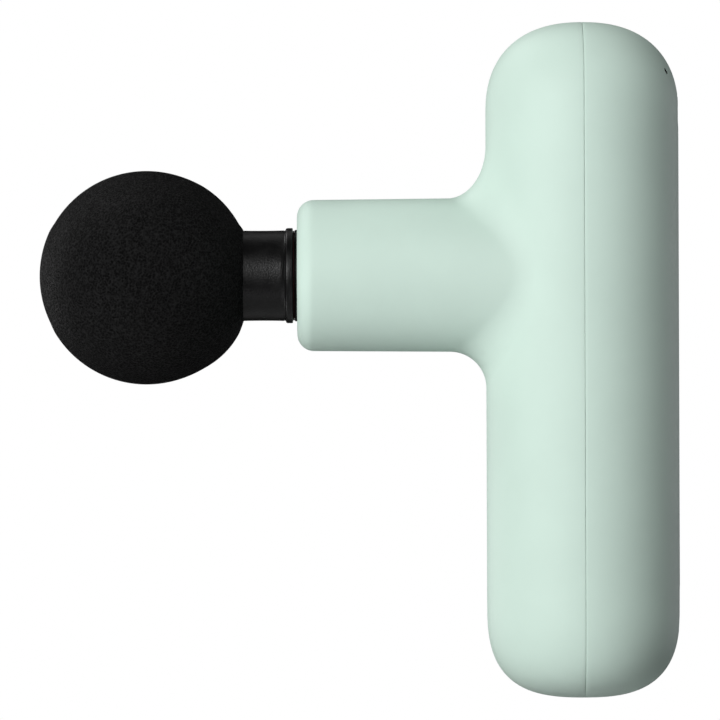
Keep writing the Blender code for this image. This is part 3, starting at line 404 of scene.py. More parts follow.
def capped(name, rings):
    """An object whose surface is the skin over a chain of rings, with its two ends closed flat."""
    bm = bmesh.new()
    loops = chained(bm, rings)
    bm.faces.new(loops[0])
    bm.faces.new(loops[-1])
    return finished(name, bm)


def merged(name, pieces):
    """Several objects made into one."""
    bm = bmesh.new()
    for piece in pieces:
        bm.from_mesh(piece.data)
        bpy.data.objects.remove(piece, do_unlink=True)
    return finished(name, bm)


def turned(name, profile, segments=TURN_SEGMENTS):
    """Revolves (radius, reach) points about the plunger's axis."""
    angles = np.linspace(0, 2 * math.pi, segments, endpoint=False)
    rings = [mouth_ring(angles, radius, reach) for radius, reach in profile]
    return skinned(name, rings, closed=profile[0][0] > 0)


def softened(profile, sizes):
    """A profile whose corners are rounded; sizes maps a corner's index to its rounding."""
    steps = 4
    result = []
    for i, corner in enumerate(profile):
        if i not in sizes:
            result.append(corner)
            continue
        here = Vector(corner)
        start = here + (Vector(profile[i - 1]) - here).normalized() * sizes[i]
        end = here + (Vector(profile[(i + 1) % len(profile)]) - here).normalized() * sizes[i]
        for k in range(steps + 1):
            t = k / steps
            result.append(tuple(start * (1 - t) ** 2 + here * 2 * t * (1 - t) + end * t**2))
    return result


def rounded_outline(half_y, half_z, corner, steps=8):
    """A rounded rectangle about the origin, as (y, z) points."""
    points = []
    for quarter in range(4):
        middle_y = (half_y - corner) * (1 if quarter in (0, 3) else -1)
        middle_z = (half_z - corner) * (1 if quarter in (0, 1) else -1)
        for i in range(steps + 1):
            angle = math.pi / 2 * (quarter + i / steps)
            point = (middle_y + corner * math.cos(angle), middle_z + corner * math.sin(angle))
            points.append(point)
    return points


def circle_outline(radius, steps):
    """A circle about the origin, as (y, z) points, none of which lies on either axis.

    A point on an axis could meet a vertex of the casing, which the Boolean can't cut cleanly.
    """
    turns = [2 * math.pi * (i + 0.37) / steps for i in range(steps)]
    return [(radius * math.cos(a), radius * math.sin(a)) for a in turns]


def upright_rings(outline_at, stations, height):
    """Rings in upright planes, centred at a height; stations holds (x, outline_at's argument) pairs."""
    rings = []
    for x, argument in stations:
        flat = np.array(outline_at(argument)) + np.array([0.0, height])
        rings.append(np.column_stack([np.full(len(flat), x), flat]))
    return rings


def back_surface(outline, centre_y, centre_z, sink):
    """The points of an outline laid on the handle's back, sunk below its surface."""
    flat = np.array(outline) + np.array([centre_y, centre_z])
    start = np.stack([np.zeros(len(flat)), flat[:, 0], flat[:, 1]], axis=-1)
    backward = np.zeros_like(start)
    backward[:, 0] = 1.0
    return start + backward * (reach_along(start, backward) - sink)[:, None]


def carve(target, tool):
    """Cuts tool out of target and removes the tool."""
    modifier = target.modifiers.new("carve", "BOOLEAN")
    modifier.operation = "DIFFERENCE"
    modifier.solver = "EXACT"
    modifier.object = tool
    graph = bpy.context.evaluated_depsgraph_get()
    cut_mesh = bpy.data.meshes.new_from_object(target.evaluated_get(graph))
    target.modifiers.clear()
    target.data = cut_mesh
    bpy.data.objects.remove(tool, do_unlink=True)
    cut_mesh.set_sharp_from_angle(angle=SHARP_ANGLE)


def opening_tool(outline_at, centre_y, centre_z, edge):
    """A cutter for an opening in the back, whose rim it softens all the way round.

    outline_at(grow) gives the opening's outline, grown by that much. The softened rim starts a hair
    above the casing's surface, so that the two surfaces cross instead of touching.
    """
    above = 0.02 * MM
    headroom = 3 * MM
    depth = 5 * MM
    rim = back_surface(outline_at(edge * 2), centre_y, centre_z, -edge)
    lid = rim.copy()
    lid[:, 0] = HANDLE_RADIUS + headroom
    rings = [lid, rim]
    for sine, cosine in quarter_turn(4):
        sink = edge * (1 - cosine) - above
        rings.append(back_surface(outline_at(edge * (1 - sine)), centre_y, centre_z, sink))
    floor = rings[-1].copy()
    floor[:, 0] = rings[-1][:, 0].min() - depth
    rings.append(floor)
    return capped("opening_tool", rings)


# ---------------------------------------------------------------- pieces


def make_casing():
    """Both halves of the casing, with the openings in the back."""
    front_rings = shell_rings(-1, outer_count=96, inner_count=12)
    rear_rings = shell_rings(1, outer_count=44, inner_count=10)
    front = skinned("casing_front", front_rings, closed=True)
    rear = skinned("casing_rear", rear_rings, closed=False)

    def button_outline(grow):
        return circle_outline(BUTTON_RADIUS + BUTTON_GAP + grow, BUTTON_SEGMENTS)

    def light_outline(grow):
        return circle_outline(LED_RADIUS + LED_GAP + grow, LED_SEGMENTS)

    def port_outline(grow):
        return rounded_outline(PORT_HALF_Y + grow, PORT_HALF_Z + grow, PORT_CORNER + grow)

    tools = [
        opening_tool(button_outline, 0.0, BUTTON_Z, OPENING_EDGE),
        opening_tool(port_outline, 0.0, PORT_Z, OPENING_EDGE),
    ]
    tools += [opening_tool(light_outline, y, LED_Z, LED_EDGE) for y in LED_OFFSETS]
    carve(rear, merged("openings", tools))
    return front, rear


def make_ball():
    """The foam ball, fuller round its neck than a true sphere and hung a hair below the neck's axis."""
    mouth = NECK_RADIUS + 0.1 * MM
    start = math.asin(mouth / BALL_RADIUS)
    pocket_back, pocket_front = POCKET_REACHES
    steps = 96
    profile = [(mouth, pocket_back)]
    for i in range(steps + 1):
        angle = start + (math.pi - start) * i / steps
        swell = math.exp(-(((angle - BALL_SWELL_ANGLE) / BALL_SWELL_SPREAD) ** 2))
        radius = BALL_RADIUS * (1 + BALL_SWELL * swell)
        across = radius * math.sin(angle) if i < steps else 0.0
        if i < steps / 2:
            across = max(across, mouth)
        profile.append((across, BALL_REACH - radius * math.cos(angle)))
    pocket = [(POCKET_RADIUS, pocket_back), (POCKET_RADIUS, pocket_front), (0.0, pocket_front)]
    ball = turned("foam_ball", [*profile[::-1], *pocket], 160)
    # the whole ball hangs down, most of all near the neck, but its mouth stays round the neck
    for vertex in ball.data.vertices:
        off_axis = math.hypot(vertex.co.y, vertex.co.z)
        clear_of_mouth = min(max((off_axis - mouth) / (2 * MM), 0.0), 1.0)
        near_neck = min(max((vertex.co.x + 84 * MM) / (6 * MM), 0.0), 1.0)
        vertex.co.z -= BALL_DROP * clear_of_mouth * (1 + 0.8 * near_neck)
    return ball


def make_neck():
    """The push-in connector: stem with its grooves, flange, waisted neck, and root inside the ball."""
    back, front = FLANGE_REACHES
    disc_back, disc_front = DISC_REACHES
    profile = [
        (BORE_RADIUS, STEM_BACK),
        (STEM_END_RADIUS, STEM_BACK),
        (STEM_RADIUS, STEM_BACK + 0.5 * MM),
    ]
    for reach in O_RING_REACHES:
        profile += [
            (STEM_RADIUS, reach - GROOVE_HALF_WIDTH),
            (GROOVE_RADIUS, reach - GROOVE_HALF_WIDTH),
            (GROOVE_RADIUS, reach + GROOVE_HALF_WIDTH),
            (STEM_RADIUS, reach + GROOVE_HALF_WIDTH),
        ]
    profile.append((STEM_RADIUS, back))
    flange = [
        (STEM_RADIUS, back),
        (FLANGE_RADIUS, back),
        (FLANGE_RADIUS, front),
        (NECK_RADIUS + 0.05 * MM, front + 0.15 * MM),
        (NECK_RADIUS - 0.08 * MM, front + 0.35 * MM),
    ]
    profile += softened(flange, {1: 0.22 * MM, 2: 0.3 * MM})[1:]
    steps = 16
    for i in range(steps + 1):
        share = i / steps
        waist = NECK_WAIST * math.sin(math.pi * min(share * 1.15, 1.0)) ** 0.8
        profile.append((NECK_RADIUS - waist, front + 0.6 * MM + share * NECK_LENGTH))
    profile += [(ROOT_RADIUS, ROOT_BACK), (ROOT_RADIUS, disc_back), (DISC_RADIUS, disc_back)]
    profile += [(DISC_RADIUS, disc_front), (BORE_RADIUS, disc_front)]
    return turned("neck_connector", profile)


def make_plunger():
    """The plunger, whose front rim is the collar seen behind the flange."""
    profile = [
        (HEAD_SOCKET_RADIUS, PLUNGER_FACE),
        (PLUNGER_RADIUS, PLUNGER_FACE),
        (PLUNGER_RADIUS, PLUNGER_BACK),
        (ROD_SEAT_RADIUS, PLUNGER_BACK),
        (ROD_SEAT_RADIUS, ROD_SEAT_FLOOR),
        (SCREW_HOLE_RADIUS, ROD_SEAT_FLOOR),
        (SCREW_HOLE_RADIUS, HEAD_SOCKET_FLOOR),
        (HEAD_SOCKET_RADIUS, HEAD_SOCKET_FLOOR),
    ]
    return turned("plunger_sleeve", softened(profile, {0: 0.3 * MM, 1: 0.25 * MM, 2: 0.3 * MM}))


def make_gasket():
    """The thin red washer squeezed between the flange and the plunger's rim."""
    back, front = GASKET_REACHES
    inner, outer = GASKET_RADII
    profile = [(inner, back), (outer, back), (outer, front), (inner, front)]
    return turned("flange_gasket", softened(profile, {1: 0.08 * MM, 2: 0.08 * MM}))


def make_o_rings():
    """The two O-rings on the stem, bulging between it and the socket."""
    steps = 16
    rings = []
    for name, reach in zip(("stem_ring_inner", "stem_ring_outer"), O_RING_REACHES):
        section = []
        for i in range(steps):
            angle = 2 * math.pi * i / steps
            radius = O_RING_RADIUS + O_RING_HALF_HEIGHT * math.cos(angle)
            section.append((radius, reach + O_RING_HALF_WIDTH * math.sin(angle)))
        rings.append(turned(name, section, 96))
    return rings


def make_button():
    """The power button: a cap that follows the handle's back, with a soft rim and a shallow dish."""
    levels = [(BUTTON_RADIUS + BUTTON_FLANGE, depth) for depth in BUTTON_FLANGE_DEPTHS]
    levels.append((BUTTON_RADIUS, BUTTON_SKIRT_DEPTH))
    for sine, cosine in quarter_turn(5):
        levels.append((BUTTON_RADIUS - BUTTON_EDGE * (1 - cosine), BUTTON_EDGE * (1 - sine)))
    steps = 12
    for i in range(1, steps):
        share = i / steps
        radius = (BUTTON_RADIUS - BUTTON_EDGE) * (1 - share)
        sink = BUTTON_DISH * (0.5 - 0.5 * math.cos(math.pi * min(share * 1.6, 1)))
        levels.append((radius, sink))
    rings = []
    for radius, sink in levels:
        rings.append(back_surface(circle_outline(radius, BUTTON_SEGMENTS), 0.0, BUTTON_Z, sink))
    return capped("power_cap", rings)


def make_light_guide():
    """The bar in front of the board's lights, with a pin that fills each hole in the casing."""
    low, high = LED_Z - LIGHT_BAR_DROP, LED_Z + LIGHT_BAR_RISE
    back, front = LIGHT_BAR_X
    edge = 0.1 * MM

    def bar_at(grow):
        return rounded_outline(LIGHT_BAR_HALF_Y + grow, (high - low) / 2 + grow, 0.3 * MM + grow)

    stations = ((back, 0.0), (front - edge, 0.0), (front, -edge))
    pieces = [capped("bar", upright_rings(bar_at, stations, (high + low) / 2))]
    edge_sink, face_sink = LED_SINKS
    for y in LED_OFFSETS:
        side = back_surface(circle_outline(LED_RADIUS, LED_SEGMENTS), y, LED_Z, edge_sink)
        tip = back_surface(circle_outline(LED_RADIUS * 0.85, LED_SEGMENTS), y, LED_Z, face_sink)
        root = side.copy()
        root[:, 0] = LIGHT_PIN_ROOT_X
        pieces.append(capped("pin", [root, side, tip]))
    return merged("light_pipe", pieces)


def make_socket():
    """The charging socket's sleeve with a rolled rim, its tongue, and the gold contacts on that."""

    def sleeve_at(grow):
        return rounded_outline(1.28 * MM + grow, 4.17 * MM + grow, 1.25 * MM + grow)

    def block_at(grow):
        return rounded_outline(1.1 * MM + grow, 4.0 * MM + grow, 0.9 * MM + grow)

    def blade_at(grow):
        return rounded_outline(BLADE_HALF_Y + grow, 3.35 * MM + grow, 0.15 * MM + grow, 3)

    def contact_at(side_y):
        strip = rounded_outline(0.03 * MM, 0.13 * MM, 0.02 * MM, 2)
        return [(y + side_y, z) for y, z in strip]

    back, front = SLEEVE_X
    stations = (
        (back, 0.0),
        (front - SLEEVE_EDGE, 0.0),
        (front, SLEEVE_EDGE),
        (front, SLEEVE_WALL - SLEEVE_EDGE),
        (front - SLEEVE_EDGE, SLEEVE_WALL),
        (back, SLEEVE_WALL),
    )
    sleeve = skinned("socket_sleeve", upright_rings(sleeve_at, stations, PORT_Z), closed=True)
    block = capped("block", upright_rings(block_at, [(x, 0.0) for x in BLOCK_X], PORT_Z))
    root, tip = BLADE_X
    stations = ((root, 0.0), (tip - 0.2 * MM, 0.0), (tip, -0.1 * MM))
    blade = capped("blade", upright_rings(blade_at, stations, PORT_Z))
    contacts = []
    for side_y in (-BLADE_HALF_Y, BLADE_HALF_Y):
        for i in range(CONTACT_COUNT):
            height = PORT_Z + (i - (CONTACT_COUNT - 1) / 2) * CONTACT_PITCH
            rings = upright_rings(contact_at, [(x, side_y) for x in CONTACT_X], height)
            contacts.append(capped("contact", rings))
    return sleeve, merged("socket_insert", [block, blade]), merged("socket_contacts", contacts)


# ---------------------------------------------------------------- materials


def node(tree, kind, sockets=None, **settings):
    """Adds a shader node. A socket's value may be a number, a colour or another node's output."""
    made = tree.nodes.new(kind)
    for name, value in settings.items():
        setattr(made, name, value)
    for name, value in (sockets or {}).items():
        if isinstance(value, bpy.types.NodeSocket):
            tree.links.new(value, made.inputs[name])
        else:
            made.inputs[name].default_value = value
    return made


def new_material(name):
    """A node material with its Principled shader and the coordinates of the piece's own mesh."""
    made = bpy.data.materials.new(name)
    made.use_nodes = True
    tree = made.node_tree
    shader = tree.nodes["Principled BSDF"]
    place = tree.nodes.new("ShaderNodeTexCoord").outputs["Object"]
    return made, tree, shader, place


def noise(tree, place, scale, detail=3.0, roughness=0.55):
    """Noise between 0 and 1; at a scale of 1000 its lumps are about a millimetre across."""
    sockets = {"Vector": place, "Scale": scale, "Detail": detail, "Roughness": roughness}
    return node(tree, "ShaderNodeTexNoise", sockets).outputs["Fac"]


def stretched(tree, place, scales):
    """Coordinates scaled differently along X, Y and Z."""
    return node(tree, "ShaderNodeMapping", {"Vector": place, "Scale": scales}).outputs["Vector"]


def between(tree, value, low, high, out_low, out_high):
    """value mapped from one range to another, smoothly and clamped."""
    sockets = {"Value": value, "From Min": low, "From Max": high, "To Min": out_low, "To Max": out_high}
    made = node(tree, "ShaderNodeMapRange", sockets, interpolation_type="SMOOTHSTEP")
    return made.outputs["Result"]


def maths(tree, operation, first, second):
    """The result of an operation on two values."""
    made = node(tree, "ShaderNodeMath", {0: first, 1: second}, operation=operation)
    return made.outputs["Value"]


def blended(tree, factor, first, second):
    """A colour between two colours."""
    made = tree.nodes.new("ShaderNodeMix")
    made.data_type = "RGBA"
    for index, value in ((0, factor), (6, first), (7, second)):
        if isinstance(value, bpy.types.NodeSocket):
            tree.links.new(value, made.inputs[index])
        else:
            made.inputs[index].default_value = value
    return made.outputs[2]


def bumped(tree, height, distance, strength, under=None):
    """A normal bumped by a height, on top of another bump if under is given."""
    sockets = {"Height": height, "Distance": distance, "Strength": strength}
    if under:
        sockets["Normal"] = under
    return node(tree, "ShaderNodeBump", sockets).outputs["Normal"]


def linked(tree, shader, sockets):
    """Feeds node outputs into the shader's sockets of these names."""
    for name, value in sockets.items():
        tree.links.new(value, shader.inputs[name])


def shade(colour, factor):
    """A colour made lighter or darker, as RGBA."""
    return (*(channel * factor for channel in colour[:3]), 1.0)


def mint_plastic():
    """Satin moulded shell: faint mottling, a fine spark-eroded grain, and a worn, glossier foot."""
    made, tree, shader, place = new_material("mint_plastic")
    mint = (0.607, 0.763, 0.681)
    mottle = between(tree, noise(tree, place, 60.0, 4.0), 0.3, 0.7, 0.0, 1.0)
    tint = blended(tree, mottle, shade(mint, 0.985), shade(mint, 1.012))
    height = node(tree, "ShaderNodeSeparateXYZ", {"Vector": place}).outputs["Z"]
    near_foot = between(tree, height, -80.0 * MM, -93.5 * MM, 0.0, 1.0)
    worn = maths(tree, "MULTIPLY", noise(tree, place, 180.0, 5.0), near_foot)
    rough = between(tree, noise(tree, place, 900.0, 4.0), 0.3, 0.7, 0.52, 0.62)
    linked(
        tree,
        shader,
        {
            "Base Color": blended(tree, worn, tint, shade(mint, 1.04)),
            "Roughness": maths(tree, "SUBTRACT", rough, maths(tree, "MULTIPLY", worn, 0.12)),
            "Normal": bumped(tree, noise(tree, place, 5200.0, 2.0), 0.000008, 0.6),
        },
    )
    shader.inputs["Specular IOR Level"].default_value = 0.22
    return made


def black_foam():
    """Closed-cell foam: matte black with a fine pebbled skin that sparkles a little in the light."""
    made, tree, shader, place = new_material("black_foam")
    cells = node(tree, "ShaderNodeTexVoronoi", {"Vector": place, "Scale": 2000.0}).outputs["Distance"]
    grain = noise(tree, place, 2500.0, 4.0, 0.65)
    lumps = noise(tree, place, 420.0, 3.0)
    relief = maths(tree, "ADD", maths(tree, "MULTIPLY", cells, 0.6), grain)
    dark, light = (0.0012, 0.0012, 0.0012, 1.0), (0.0145, 0.0145, 0.0147, 1.0)
    linked(
        tree,
        shader,
        {
            "Base Color": blended(tree, between(tree, relief, 0.5, 1.1, 0.0, 1.0), dark, light),
            "Roughness": between(tree, relief, 0.5, 1.1, 0.65, 0.5),
            "Normal": bumped(tree, relief, 0.0004, 1.0, bumped(tree, lumps, 0.00006, 0.3)),
        },
    )
    shader.inputs["Specular IOR Level"].default_value = 0.035
    return made


def black_plastic(name, grain_scale, roughness, colour, gloss=0.3):
    """Black moulded plastic with a spark-eroded grain."""
    made, tree, shader, place = new_material(name)
    grain = noise(tree, place, grain_scale, 3.0, 0.6)
    smear = noise(tree, place, 240.0, 4.0)
    linked(
        tree,
        shader,
        {
            "Base Color": blended(tree, grain, shade(colour, 0.7), shade(colour, 1.3)),
            "Roughness": between(tree, smear, 0.3, 0.7, roughness - 0.05, roughness + 0.06),
            "Normal": bumped(tree, grain, 0.00009, 0.7),
        },
    )
    shader.inputs["Specular IOR Level"].default_value = gloss
    return made


def rubber():
    """Matt black rubber with a dusty bloom."""
    made, tree, shader, place = new_material("rubber")
    bloom = noise(tree, place, 700.0, 5.0, 0.6)
    dust = between(tree, bloom, 0.45, 0.75, 0.0, 1.0)
    linked(
        tree,
        shader,
        {
            "Base Color": blended(tree, dust, (0.014, 0.014, 0.014, 1.0), (0.04, 0.039, 0.037, 1.0)),
            "Roughness": between(tree, bloom, 0.3, 0.7, 0.68, 0.85),
            "Normal": bumped(tree, noise(tree, place, 3000.0), 0.00002, 0.5),
        },
    )
    return made


def red_silicone():
    """Dark red silicone with a faint dusty bloom."""
    made, tree, shader, place = new_material("red_silicone")
    bloom = noise(tree, place, 900.0, 4.0)
    linked(
        tree,
        shader,
        {
            "Base Color": blended(tree, bloom, (0.010, 0.001, 0.0015, 1.0), (0.024, 0.003, 0.004, 1.0)),
            "Roughness": between(tree, bloom, 0.3, 0.7, 0.5, 0.7),
            "Normal": bumped(tree, bloom, 0.00002, 0.4),
        },
    )
    shader.inputs["Specular IOR Level"].default_value = 0.1
    return made


def nylon():
    """Glass-filled nylon: dark grey with short pale fibres showing at the skin."""
    made, tree, shader, place = new_material("nylon")
    fibres = noise(tree, stretched(tree, place, (2600.0, 700.0, 900.0)), 1.0, 3.0, 0.7)
    streak = between(tree, fibres, 0.58, 0.72, 0.0, 1.0)
    linked(
        tree,
        shader,
        {
            "Base Color": blended(tree, streak, (0.035, 0.036, 0.038, 1.0), (0.11, 0.11, 0.112, 1.0)),
            "Roughness": between(tree, fibres, 0.3, 0.7, 0.5, 0.66),
            "Normal": bumped(tree, fibres, 0.00003, 0.5),
        },
    )
    return made


def metal(name, colour, roughness, scales, spread=0.12):
    """Machined metal. scales stretches its tool marks: high across them and low along them."""
    made, tree, shader, place = new_material(name)
    marks = noise(tree, stretched(tree, place, scales), 1.0, 4.0, 0.65)
    stain = noise(tree, place, 320.0, 4.0)
    worn = between(tree, stain, 0.35, 0.7, 0.0, 1.0)
    linked(
        tree,
        shader,
        {
            "Base Color": blended(tree, worn, shade(colour, 0.82), shade(colour, 1.04)),
            "Roughness": between(tree, marks, 0.3, 0.7, roughness, roughness + spread),
            "Normal": bumped(tree, marks, 0.000015, 0.5),
        },
    )
    shader.inputs["Metallic"].default_value = 1.0
    return made


def copper_windings():
    """Enamelled copper wire, laid in even turns up each coil."""
    made, tree, shader, place = new_material("copper_windings")
    sockets = {"Vector": place, "Scale": 420.0, "Distortion": 0.6, "Detail": 1.0}
    turns = node(tree, "ShaderNodeTexWave", sockets, bands_direction="Z").outputs["Fac"]
    dull = noise(tree, place, 500.0)
    copper = blended(tree, turns, (0.22, 0.06, 0.02, 1.0), (0.72, 0.30, 0.13, 1.0))
    dulled = blended(tree, between(tree, dull, 0.5, 0.8, 0.0, 0.6), copper, (0.35, 0.12, 0.04, 1.0))
    linked(
        tree,
        shader,
        {
            "Base Color": dulled,
            "Roughness": between(tree, dull, 0.3, 0.7, 0.25, 0.4),
            "Normal": bumped(tree, turns, 0.00012, 0.8),
        },
    )
    shader.inputs["Metallic"].default_value = 0.85
    return made


def iron_laminations():
    """A stack of thin electrical-steel sheets, seen as fine level lines."""
    made, tree, shader, place = new_material("iron_laminations")
    sheets = node(
        tree,
        "ShaderNodeTexWave",
        {"Vector": place, "Scale": 450.0, "Distortion": 0.1},
        bands_direction="Z",
    ).outputs["Fac"]
    stain = noise(tree, place, 600.0, 4.0)
    linked(
        tree,
        shader,
        {
            "Base Color": blended(tree, sheets, (0.10, 0.10, 0.11, 1.0), (0.32, 0.32, 0.34, 1.0)),
            "Roughness": between(tree, stain, 0.3, 0.7, 0.35, 0.55),
            "Normal": bumped(tree, sheets, 0.00005, 0.6),
        },
    )
    shader.inputs["Metallic"].default_value = 0.9
    return made


def circuit_board(face_x):
    """Green solder mask over copper tracks; what stands above face_x is black and metal parts."""
    made, tree, shader, place = new_material("circuit_board")
    upright = node(tree, "ShaderNodeMapping", {"Vector": place, "Rotation": (0.0, math.pi / 2, 0.0)})
    tracks = node(
        tree,
        "ShaderNodeTexBrick",
        {
            "Vector": upright.outputs["Vector"],
            "Scale": 320.0,
            "Mortar Size": 0.06,
            "Color1": (0.012, 0.11, 0.04, 1.0),
            "Color2": (0.016, 0.14, 0.05, 1.0),
            "Mortar": (0.05, 0.26, 0.10, 1.0),
        },
    ).outputs["Color"]
    ahead = node(tree, "ShaderNodeSeparateXYZ", {"Vector": place}).outputs["X"]
    on_part = between(tree, ahead, face_x + 0.02 * MM, face_x + 0.06 * MM, 0.0, 1.0)
    speckle = noise(tree, place, 900.0, 3.0)
    specks = between(tree, speckle, 0.4, 0.6, 0.0, 1.0)
    part = blended(tree, specks, (0.012, 0.012, 0.013, 1.0), (0.03, 0.03, 0.032, 1.0))
    linked(
        tree,
        shader,
        {
            "Base Color": blended(tree, on_part, tracks, part),
            "Roughness": between(tree, speckle, 0.3, 0.7, 0.3, 0.5),
            "Normal": bumped(tree, speckle, 0.00002, 0.4),
        },
    )
    return made


def film(name, colour, roughness=0.3):
    """Heat-shrunk or extruded plastic film with faint ripples."""
    made, tree, shader, place = new_material(name)
    ripple = noise(tree, stretched(tree, place, (350.0, 350.0, 60.0)), 1.0, 4.0)
    linked(
        tree,
        shader,
        {
            "Base Color": blended(tree, ripple, shade(colour, 0.75), shade(colour, 1.2)),
            "Roughness": between(tree, ripple, 0.3, 0.7, roughness, roughness + 0.15),
            "Normal": bumped(tree, ripple, 0.00008, 0.5),
        },
    )
    return made


def smoked_lens():
    """Tinted acrylic with a faint haze and a polished face."""
    made, tree, shader, place = new_material("smoked_lens")
    haze = noise(tree, place, 1500.0)
    linked(
        tree,
        shader,
        {
            "Base Color": blended(tree, haze, (0.03, 0.032, 0.031, 1.0), (0.06, 0.063, 0.062, 1.0)),
            "Roughness": between(tree, haze, 0.3, 0.7, 0.08, 0.2),
            "Normal": bumped(tree, haze, 0.00001, 0.3),
        },
    )
    shader.inputs["Coat Weight"].default_value = 0.5
    return made


def dress(finish, *names):
    """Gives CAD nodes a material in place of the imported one."""
    for name in names:
        mesh = frame["nodes"][name].data
        mesh.materials.clear()
        mesh.materials.append(finish)


# ---------------------------------------------------------------- stage


def aim(thing, direction, distance, target):
    """Puts thing at a distance from target, facing it."""
    thing.location = Vector(target) + Vector(direction).normalized() * distance
    thing.rotation_mode = "QUATERNION"
    thing.rotation_quaternion = (-Vector(direction)).to_track_quat("-Z", "Y")
    bpy.context.scene.collection.objects.link(thing)


def direction_of(azimuth, elevation):
    """Unit vector; azimuth 0 is towards the camera (-Y) and 90 is +X, in degrees."""
    turn, rise = math.radians(azimuth), math.radians(elevation)
    return Vector((math.sin(turn) * math.cos(rise), -math.cos(turn) * math.cos(rise), math.sin(rise)))


def make_lights(target):
    """Softboxes: (name, azimuth, elevation, size in metres, strength, colour).

    A strength is in proportion to the light that reaches the target, whatever the distance.
    """
    softboxes = (
        ("key", -50, 10, 1.0, 0.397, WHITE),
        ("front", -25, 10, 1.0, 0.378, WHITE),
        ("upper_front", -25, 25, 1.0, 0.34, WHITE),
        ("high_back", 180, 60, 1.0, 0.033, WHITE),
        ("high_right", 90, 60, 1.0, 0.194, WHITE),
        ("low_right", 25, -50, 1.0, 0.209, (1.0, 0.98, 1.02)),
        ("low_left", -100, -50, 1.0, 0.309, WHITE),
        ("left_rim", -135, 0, 0.9, 0.158, WHITE),
        ("high_left", -135, 45, 0.9, 0.233, WHITE),
        ("right_rim", 135, 0, 0.9, 0.112, (1.0, 0.97, 1.03)),
    )
    for name, azimuth, elevation, size, strength, colour in softboxes:
        lamp = bpy.data.lights.new(name, "AREA")
        lamp.shape = "DISK"
        lamp.size = size
        lamp.color = colour
        lamp.energy = strength * math.pi**2 * LIGHT_DISTANCE**2
        holder = bpy.data.objects.new(name, lamp)
        aim(holder, direction_of(azimuth, elevation), LIGHT_DISTANCE, target)
        holder.visible_camera = False


def make_world(fill, backdrop):
    """A faint even fill light, instead of which the camera sees a white backdrop."""
    world = bpy.data.worlds.new("studio")
    world.use_nodes = True
    tree = world.node_tree
    tree.nodes.clear()
    seen = tree.nodes.new("ShaderNodeLightPath").outputs["Is Camera Ray"]
    fill_light = node(tree, "ShaderNodeBackground", {"Color": fill})
    paper = node(tree, "ShaderNodeBackground", {"Color": backdrop})
    mixed = tree.nodes.new("ShaderNodeMixShader")
    out = tree.nodes.new("ShaderNodeOutputWorld")
    tree.links.new(seen, mixed.inputs[0])
    tree.links.new(fill_light.outputs[0], mixed.inputs[1])
    tree.links.new(paper.outputs[0], mixed.inputs[2])
    tree.links.new(mixed.outputs[0], out.inputs["Surface"])
    bpy.context.scene.world = world


def make_floor():
    """A round pale floor that fades out towards its rim."""
    bm = bmesh.new()
    bmesh.ops.create_circle(bm, cap_ends=True, segments=96, radius=FLOOR_RADIUS)
    floor = finished("studio_floor", bm)
    floor.location = (FLOOR_X, 0.0, FLOOR_Z)
    made, tree, shader, place = new_material("floor_paper")
    away = node(tree, "ShaderNodeVectorMath", {0: place}, operation="LENGTH").outputs["Value"]
    fibre = noise(tree, place, 300.0)
    linked(
        tree,
        shader,
        {
            "Base Color": blended(tree, fibre, (0.55, 0.55, 0.55, 1.0), (0.60, 0.60, 0.60, 1.0)),
            "Alpha": between(tree, away, FLOOR_RADIUS * 0.45, FLOOR_RADIUS * 0.98, 1.0, 0.0),
        },
    )
    shader.inputs["Roughness"].default_value = 0.9
    floor.data.materials.append(made)


def make_camera():
    """A long lens square on to the object's left side, rolled by the hair that the object leans."""
    lens = bpy.data.cameras.new("camera")
    lens.lens = LENS_LENGTH
    lens.sensor_width = 36.0
    lens.clip_start = 0.1
    lens.clip_end = 20.0
    camera = bpy.data.objects.new("camera", lens)
    camera.location = CAMERA_PLACE
    camera.rotation_euler = (math.pi / 2, CAMERA_LEAN, 0.0)
    bpy.context.scene.collection.objects.link(camera)
    bpy.context.scene.camera = camera


# ---------------------------------------------------------------- assembly


def shared_finishes():
    """The materials that visual pieces share with each other or with the CAD's inner parts."""
    return {
        "mint": mint_plastic(),
        "foam": black_foam(),
        "rubber": rubber(),
        "nickel": metal("nickel_strip", (0.66, 0.63, 0.56), 0.2, (3000.0, 300.0, 3000.0)),
        "inside": black_plastic("inside_plastic", 2400.0, 0.45, (0.02, 0.02, 0.021)),
    }


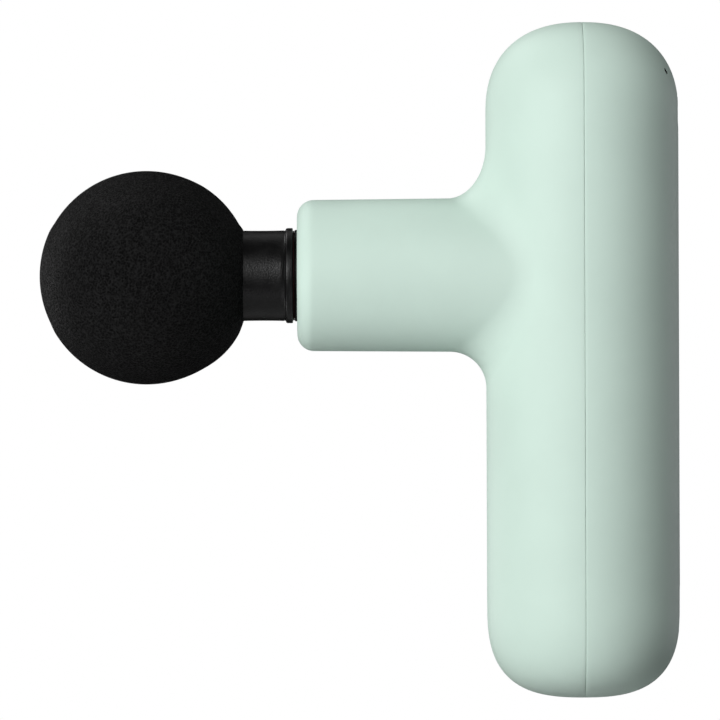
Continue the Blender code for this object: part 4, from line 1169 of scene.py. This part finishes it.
def place_pieces(shared):
    """Makes the visual pieces and puts each on its body, in place of its CAD node."""
    front, rear = make_casing()
    ball = make_ball()
    neck = make_neck()
    plunger = make_plunger()
    inner_ring, outer_ring = make_o_rings()
    button = make_button()
    gasket = make_gasket()
    light_guide = make_light_guide()
    sleeve, insert, contacts = make_socket()
    mint = shared["mint"]
    rings_black = shared["rubber"]
    neck_black = black_plastic("neck_plastic", 2300.0, 0.36, (0.002, 0.002, 0.0021))
    collar_black = black_plastic("collar_plastic", 3000.0, 0.45, (0.001, 0.002, 0.0015), gloss=0.06)
    placings = (
        (front, "root", "front_shell", "shell_mint", mint),
        (rear, "root", "rear_shell", "shell_mint", mint),
        (ball, "head", "head_ball", "black_foam", shared["foam"]),
        (neck, "head", "head_connector", "black_plastic", neck_black),
        (inner_ring, "head", "o_ring_inner", "rubber", rings_black),
        (outer_ring, "head", "o_ring_outer", "rubber", rings_black),
        (plunger, "plunger", "plunger", "black_plastic", collar_black),
        (button, "button", "power_button", "shell_mint", mint),
        (gasket, "head", "face_gasket", "red_silicone", red_silicone()),
        (light_guide, "root", "light_guide", "smoked_lens", smoked_lens()),
        (sleeve, "root", "charging_socket", "steel", shared["nickel"]),
        (insert, "root", "socket_tongue", "black_plastic", shared["inside"]),
    )
    for piece, body, cad_node, slot, finish in placings:
        piece.data.materials.clear()
        piece.data.materials.append(finish)
        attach(piece, body)
        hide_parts(cad_node)
    contacts.data.materials.append(metal("gold_contacts", (0.83, 0.60, 0.25), 0.22, (2500.0,) * 3))
    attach(contacts, "root")


def dress_inside(shared):
    """Gives the CAD's inner parts, which no visual piece replaces, materials of this script."""
    steel = metal("turned_steel", (0.56, 0.56, 0.58), 0.2, (900.0, 900.0, 5000.0))
    bronze = metal("sintered_bronze", (0.50, 0.31, 0.13), 0.4, (2500.0,) * 3, 0.2)
    aluminium = metal("turned_aluminium", (0.72, 0.72, 0.74), 0.32, (1800.0,) * 3, 0.18)
    magnet = metal("magnet_coating", (0.28, 0.28, 0.29), 0.3, (1200.0,) * 3)
    blue_film = film("cell_sleeve", (0.03, 0.16, 0.42))
    red_sleeve = film("lead_sleeve", (0.42, 0.03, 0.02), 0.4)
    grey_sleeve = film("ribbon_sleeve", (0.3, 0.3, 0.31), 0.4)

    dress(shared["rubber"], "nose_seal", "front_damper_ring", "rear_damper_ring")
    dress(nylon(), "drive_frame", "battery_cradle")
    dress(steel, "plunger_screw", "yoke", "crank_disc", "crank_pin", "crank_bearing", "motor_shaft")
    dress(steel, "motor_bearing_lower", "motor_bearing_upper")
    dress(steel, *(f"{kind}_screw_{i}" for kind in ("frame", "motor") for i in range(1, 5)))
    dress(steel, "board_screw_upper", "board_screw_lower")
    dress(bronze, "front_bush", "rear_bush")
    dress(aluminium, "motor_plate", "rotor_bell")
    dress(magnet, "magnet_ring")
    dress(shared["nickel"], "cell_tab_left", "cell_tab_right", "cell_link")
    dress(copper_windings(), "stator_windings")
    dress(iron_laminations(), "stator_core")
    dress(circuit_board(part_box("control_board")[1].x), "control_board")
    dress(circuit_board(MAIN_BOARD_FACE_X), "main_board")
    dress(shared["inside"], "push_switch", "switch_key")
    dress(blue_film, "battery_cell_left", "battery_cell_right")
    dress(shared["foam"], "battery_pad")
    dress(red_sleeve, "motor_lead_1", "motor_lead_2", "motor_lead_3")
    dress(grey_sleeve, "control_ribbon")


def set_stage():
    """Lights, backdrop, floor and camera."""
    make_lights(LIT_POINT)
    make_world(shade(WHITE, 0.003), shade(WHITE, 1.0))
    make_floor()
    make_camera()
    bpy.context.scene.view_settings.view_transform = "Standard"


def main():
    """Everything but the CAD frame itself."""
    shared = shared_finishes()
    place_pieces(shared)
    dress_inside(shared)
    set_stage()


main()
